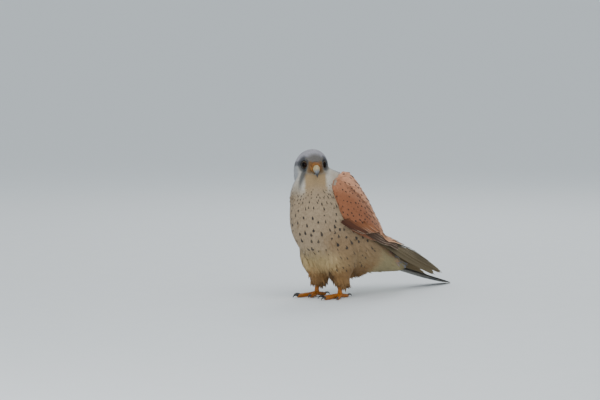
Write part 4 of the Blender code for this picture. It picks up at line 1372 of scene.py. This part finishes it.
# feet are x, y and turn; toes are spread, length, girth and number of plates
legSizes = {"ankle": 26.0, "heel": 6.6, "scutes": 9, "shank": (3.3, 2.7, 2.4, 2.8, 3.4),
            "feet": {"left": (17.0, 8.0, 4.0), "right": (-17.0, 4.0, -4.0)},
            "toes": [(-28, 21, 2.7, 7), (3, 29, 2.8, 10), (33, 21, 2.5, 7), (178, 14, 2.6, 5)],
            "girth": ((0, 1.0), (0.2, 0.98), (0.4, 0.9), (0.6, 0.88), (0.8, 0.78), (0.93, 0.72), (0.985, 0.5),
                      (1.0, 0.25))}
legTints = {"scale": (0.45, 0.122, 0.004), "crease": (0.24, 0.085, 0.008), "claw": (0.012, 0.011, 0.012),
            "clawRoot": (0.03, 0.028, 0.027)}


def scutes(count, front):
    # overlapping plates along the upper side, soft pads below
    def swell(along, angle):
        step = along * count
        plate = 0.12 * (1 - (step - math.floor(step))) ** 0.6
        above = float(smooth(-0.1, 0.5, math.cos(angle - front)))
        pad = 0.07 * math.sin(along * math.pi * 3) ** 2
        return 0.95 + plate * above + pad * (1 - above)
    return swell


def toePath(x, y, angle, length, thick):
    ahead = np.array([math.sin(angle), -math.cos(angle), 0.0])
    points, radii = [], []
    for share, size in legSizes["girth"]:
        radii.append(thick * size)
        points.append(np.array([x, y, max(radii[-1], thick * 0.62) * 0.95 + 1.2 * (1 - share) ** 2])
                      + ahead * length * share)
    return points, radii, ahead


def clawPath(tip, ahead, thick, reach=8.5, steps=7):
    points = [tip - ahead * 1.6 + np.array([0, 0, thick * 0.2])]
    radii = [thick * 0.62 + 0.16]
    for k in range(1, steps + 1):
        share = k / steps
        bend = math.radians(-25 + 105 * share)
        step = reach * 1.35 / steps
        points.append(points[-1] + ahead * math.cos(bend) * step - np.array([0, 0, math.sin(bend) * step]))
        radii.append(thick * 0.62 * (1 - share) ** 0.7 + 0.12)
    lift = max(0.35 + radii[-1] - points[-1][2], 0)
    return [point + np.array([0, 0, lift * k / steps]) for k, point in enumerate(points)], radii


legPaint = softSkinPaint("leg scales", legTints["scale"], legTints["crease"], 1300.0, 0.6, scuted=True)
for sideName, side in (("left", 1.0), ("right", -1.0)):
    x, y, turn = legSizes["feet"][sideName]
    shank = [(x, y + 1.0, legSizes["ankle"]), (x, y + 0.6, 19.0), (x, y + 0.2, 12.0), (x, y, legSizes["heel"]),
             (x, y, 3.2)]
    parts = [rod("shank", shank, legSizes["shank"], 36, 60, swell=scutes(legSizes["scutes"], math.pi / 2),
                 top=(0.0, -1.0, 0.0), plates=float(legSizes["scutes"]))]
    claws = []
    for spread, length, thick, plates in legSizes["toes"]:
        path, radii, ahead = toePath(x, y, math.radians(spread * side + turn), length, thick)
        parts.append(rod("toe", path, radii, 28, 7 * plates, 0.92, scutes(plates, math.pi / 2),
                         plates=float(plates)))
        curve, sizes = clawPath(path[-1], ahead, radii[-3])
        claws.append(rod("claw", curve, sizes, 20, 24, 1.1))
    leg = joinPieces("leg_skin_" + sideName, parts)
    dress(leg, legPaint, "bare_skin", "tarsus_" + sideName, "foot_" + sideName)
    talons = joinPieces("talons_" + sideName, claws)
    clawPaint = hornPaint("claw horn " + sideName, legTints["clawRoot"], legTints["claw"], legTints["claw"],
                          toScene((x, y, 6.0)), toScene((x, y - 36.0, 0.0)), (0.1, 0.5, 0.9))
    clawNodes = ["claw_%s_%s" % (sideName, toe) for toe in ("inner", "middle", "outer", "back")]
    dress(talons, clawPaint, "claw_horn", *clawNodes)
print("legs done")


def makeStage():
    clearSelection()
    bpy.ops.mesh.primitive_plane_add(size=1200.0, location=(0, 0, 0))
    floor = startPiece("pale_floor")
    editAll((bpy.ops.mesh.subdivide, {"number_cuts": 6}))
    paint = Paint("pale floor")
    grain = paint.noise(paint.place(), 30.0, 5.0)
    floor.data.materials.append(paint.finish(
        Base_Color=paint.mix(grain, (0.70, 0.72, 0.725), (0.735, 0.75, 0.755)), Roughness=0.75))


def makeLight(name, place, size, power, colour, target):
    lamp = bpy.data.lights.new(name, "AREA")
    lamp.shape = "DISK"
    lamp.size = size
    lamp.energy = power
    lamp.color = colour
    holder = bpy.data.objects.new(name, lamp)
    holder.location = place
    holder.rotation_euler = (Vector(target) - Vector(place)).to_track_quat("-Z", "Y").to_euler()
    bpy.context.scene.collection.objects.link(holder)


def makeWorld():
    world = bpy.data.worlds.new("studio air")
    world.use_nodes = True
    air = world.node_tree.nodes["Background"]
    air.inputs["Color"].default_value = (0.60, 0.66, 0.70, 1.0)
    air.inputs["Strength"].default_value = 1.25
    bpy.context.scene.world = world


# right, near and up from the spot looked at, then size, power and colour
lights = {"window": (0.35, 0.8, 1.5, 1.4, 11.0, (1.0, 0.98, 0.95)),
          "bounce": (-0.5, 1.3, 0.02, 0.9, 9.0, (0.93, 0.96, 1.0)),
          "rim": (0.3, -1.2, 1.2, 0.8, 6.0, (1.0, 1.0, 1.0))}
view = {"azimuth": 45.0, "elevation": 4.5, "distance": 3.0, "across": -29.0, "up": 114.0, "width": 0.702}


def makeCamera():
    turn, tilt = math.radians(view["azimuth"]), math.radians(view["elevation"])
    right = np.array([math.cos(turn), math.sin(turn), 0])
    back = np.array([math.sin(turn) * math.cos(tilt), -math.cos(turn) * math.cos(tilt), math.sin(tilt)])
    above = np.cross(back, right)
    target = toScene(right * view["across"] + above * view["up"])
    lens = bpy.data.cameras.new("long lens")
    lens.sensor_width = 36.0
    lens.lens = 36.0 * view["distance"] / view["width"]
    lens.clip_start = 0.1
    lens.clip_end = 800.0
    holder = bpy.data.objects.new("long lens", lens)
    holder.location = target + back * view["distance"]
    holder.rotation_mode = "QUATERNION"
    holder.rotation_quaternion = Vector(-back).to_track_quat("-Z", "Y")
    bpy.context.scene.collection.objects.link(holder)
    bpy.context.scene.camera = holder
    return target, right, back


makeStage()
makeWorld()
target, right, back = makeCamera()
for name, (aside, near, high, size, power, colour) in lights.items():
    place = target + right * aside + back * near + np.array([0, 0, high])
    makeLight(name, place, size, power, colour, target)
